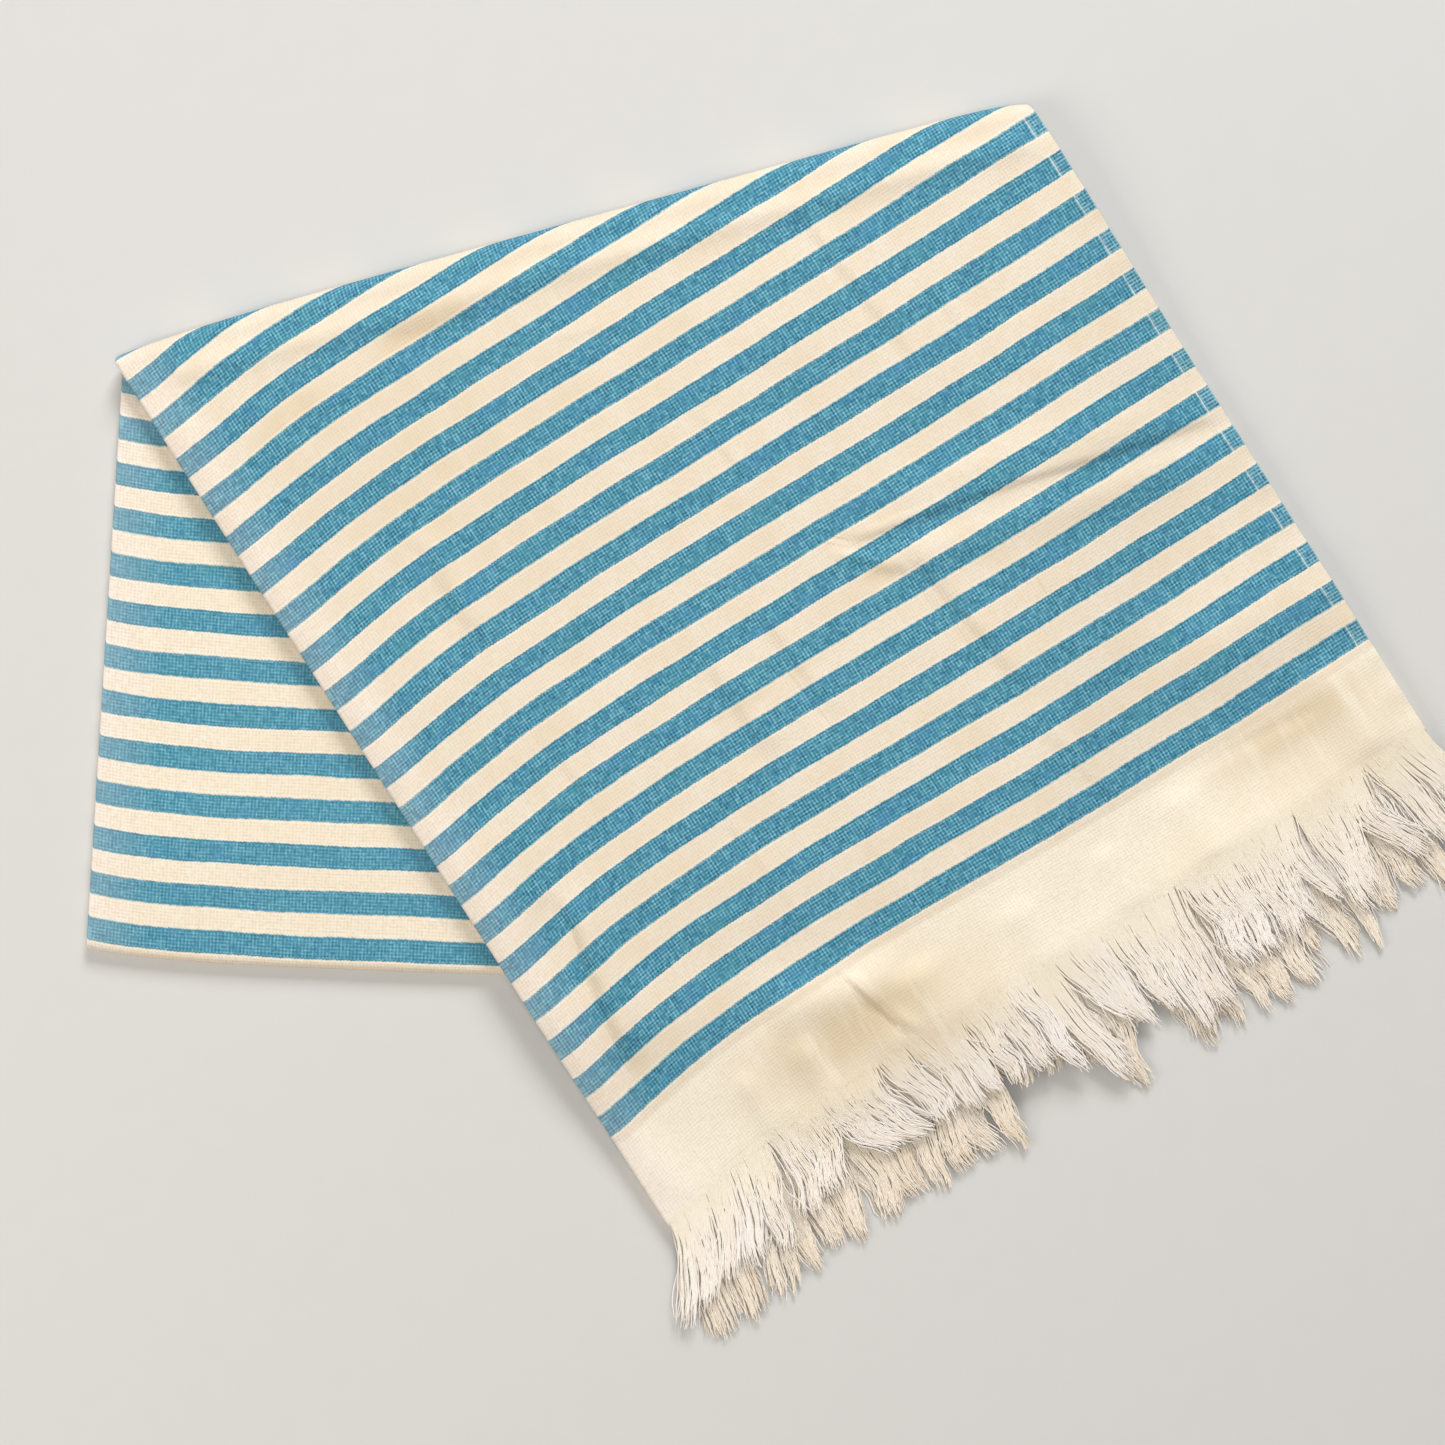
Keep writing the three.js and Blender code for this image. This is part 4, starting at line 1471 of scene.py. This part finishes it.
@dataclass(frozen=True)
class LooseYarn:
    """Undyed twisted cotton yarn, from the cloth's cream to white or pale brown."""

    name: str
    weave: StripedWeave
    white: Colour
    shade: Colour
    plies_rate: float = 420.0

    def material(self) -> bpy.types.Material:
        """Builds the yarn's finish: a tone for each yarn, its twist, and the cloth's cream at its root.

        Returns:
            The material.
        """
        g = Graph(self.name)
        u, v = g.unfolded()
        tone, along = g.map_uv("shade")
        twist = g.noise(g.point(tone * 173, along * 26), 1.0, 2.0, 0.6)
        share = (tone * 0.75 + (twist - 0.5) * 1.1 + 0.1).clamped()
        free = g.blend(share, self.white, self.shade)
        # The cloth's cream at the root, with its painted shade, and a tenth more warm cream.
        root = g.blend(0.1, self.weave.undyed(g, u, v, v), self.weave.cream_warm)
        rooted = (1.06 - along * 1.9 + (tone - 0.5) * 0.5).clamped()
        plies = (along * self.plies_rate + tone * 40).sine()
        return g.cotton(
            g.blend(rooted, free, root),
            0.82 + (twist - 0.5) * 0.1,
            g.bump(plies * 0.5 + twist, 0.3, 0.15 * MM),
            0.15,
        )


@dataclass(frozen=True)
class SoftLight:
    """A soft square light that faces the towel."""

    name: str
    place: tuple[float, float, float]
    size: float
    power: float
    colour: tuple[float, float, float]

    def build(self) -> None:
        """Adds the light, turned to the towel's middle."""
        data = bpy.data.lights.new(self.name, "AREA")
        data.shape = "SQUARE"
        data.size = self.size
        data.energy = self.power
        data.color = self.colour
        made = bpy.data.objects.new(self.name, data)
        made.location = self.place
        made.rotation_euler = (-Vector(self.place)).to_track_quat("-Z", "Y").to_euler()
        bpy.context.scene.collection.objects.link(made)


LIGHTS = (
    SoftLight("key", (0.45, 2.95, 2.0), 1.3, 102.0, (0.97, 0.985, 1.0)),
    SoftLight("fill", (-1.5, -0.6, 1.35), 1.2, 14.5, (1.0, 0.94, 0.86)),
    SoftLight("overhead", (0.15, -0.25, 2.9), 1.0, 23.5, (1.0, 0.965, 0.93)),
)


@dataclass
class Studio:
    """The plain floor, the soft lights and the camera straight above, in metres."""

    floor_half: float = 6.0
    floor_drop: float = 0.0002
    floor_colour: Colour = srgb(214, 213, 210)
    floor_grain: Colour = srgb(226, 225, 222)
    room_colour: Colour = (1.0, 0.98, 0.95, 1.0)
    room_strength: float = 0.19
    camera_height: float = 1.7
    sensor_width: float = 36.0

    def floor(self) -> bpy.types.Object:
        """Lays a plain pale floor just under the towel.

        Returns:
            The floor's object.
        """
        bpy.ops.object.select_all(action="DESELECT")
        bpy.ops.mesh.primitive_plane_add(size=2 * self.floor_half, location=(0, 0, -self.floor_drop))
        made = bpy.context.active_object
        made.name = "floor"
        g = Graph("pale_floor")
        place = g.wire(g.node("ShaderNodeTexCoord"), "Object")
        grain = g.noise(place, 60.0, 3.0, 0.5)
        colour = g.blend(grain * 0.2, self.floor_colour, self.floor_grain)
        made.data.materials.append(g.finish({"Base Color": colour, "Roughness": 0.9}))
        return made

    def lights(self) -> None:
        """Sets a cool key beyond the top, a warm fill at the left, a soft light above and a dim room."""
        for light in LIGHTS:
            light.build()
        world = bpy.data.worlds.new("studio")
        world.use_nodes = True
        sky = world.node_tree.nodes["Background"]
        sky.inputs["Color"].default_value = self.room_colour
        sky.inputs["Strength"].default_value = self.room_strength
        bpy.context.scene.world = world
        bpy.context.scene.view_settings.view_transform = "Standard"

    def camera(self) -> None:
        """Looks straight down, with the photograph's width across the view."""
        data = bpy.data.cameras.new("camera")
        data.sensor_width = self.sensor_width
        data.lens = self.sensor_width * self.camera_height / (PHOTO_SPAN_MM * MM)
        made = bpy.data.objects.new("camera", data)
        made.location = (PHOTO_CENTRE_MM[0] * MM, PHOTO_CENTRE_MM[1] * MM, self.camera_height)
        bpy.context.scene.collection.objects.link(made)
        bpy.context.scene.camera = made


def dress(piece: bpy.types.Object, node: str, material: bpy.types.Material) -> None:
    """Gives a piece its material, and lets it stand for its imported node.

    Args:
        piece: the finished mesh object.
        node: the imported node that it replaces.
        material: the finish.
    """
    piece.data.materials.append(material)
    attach(piece, "root")
    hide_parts(node)
    LOG.info("%s: %d faces, for node %s", piece.name, len(piece.data.polygons), node)


def main() -> None:
    """Builds the towel's pieces in order, then the studio."""
    logging.basicConfig(level=logging.INFO, format="%(name)s: %(message)s")
    plan = FoldPlan()
    band = FoldedCloth(plan)
    cloth = band.build()
    weave = StripedWeave(half_width=plan.half_width, middle=band.middle)
    dress(cloth, "cloth", weave.material())

    upper_yarn = LooseYarn("upper_yarn", weave, srgb(255, 250, 245), srgb(242, 226, 204))
    # The lower layer's yarn is darker and browner than the upper's: partly painted shade of the layer
    # that lies beneath, partly its own duller tone.
    lower_yarn = LooseYarn("lower_yarn", weave, srgb(255, 247, 235), srgb(228, 206, 176))
    upper = FringeEnd(plan, "upper_yarns", UPPER_LOCKS, (3, 2), 0.0, 11).build()
    dress(upper, "fringe_upper", upper_yarn.material())
    lower = FringeEnd(plan, "lower_yarns", LOWER_LOCKS, (1, 0), plan.lower_pair_extra, 23).build()
    dress(lower, "fringe_lower", lower_yarn.material())

    fold_allowance = 3.0
    flat_width = 2 * plan.half_width - plan.inner_short + fold_allowance
    flat_width * MM
    2 * band.middle * MM

    studio = Studio()
    studio.floor()
    studio.lights()
    studio.camera()


if __name__ == "__main__":
    main()
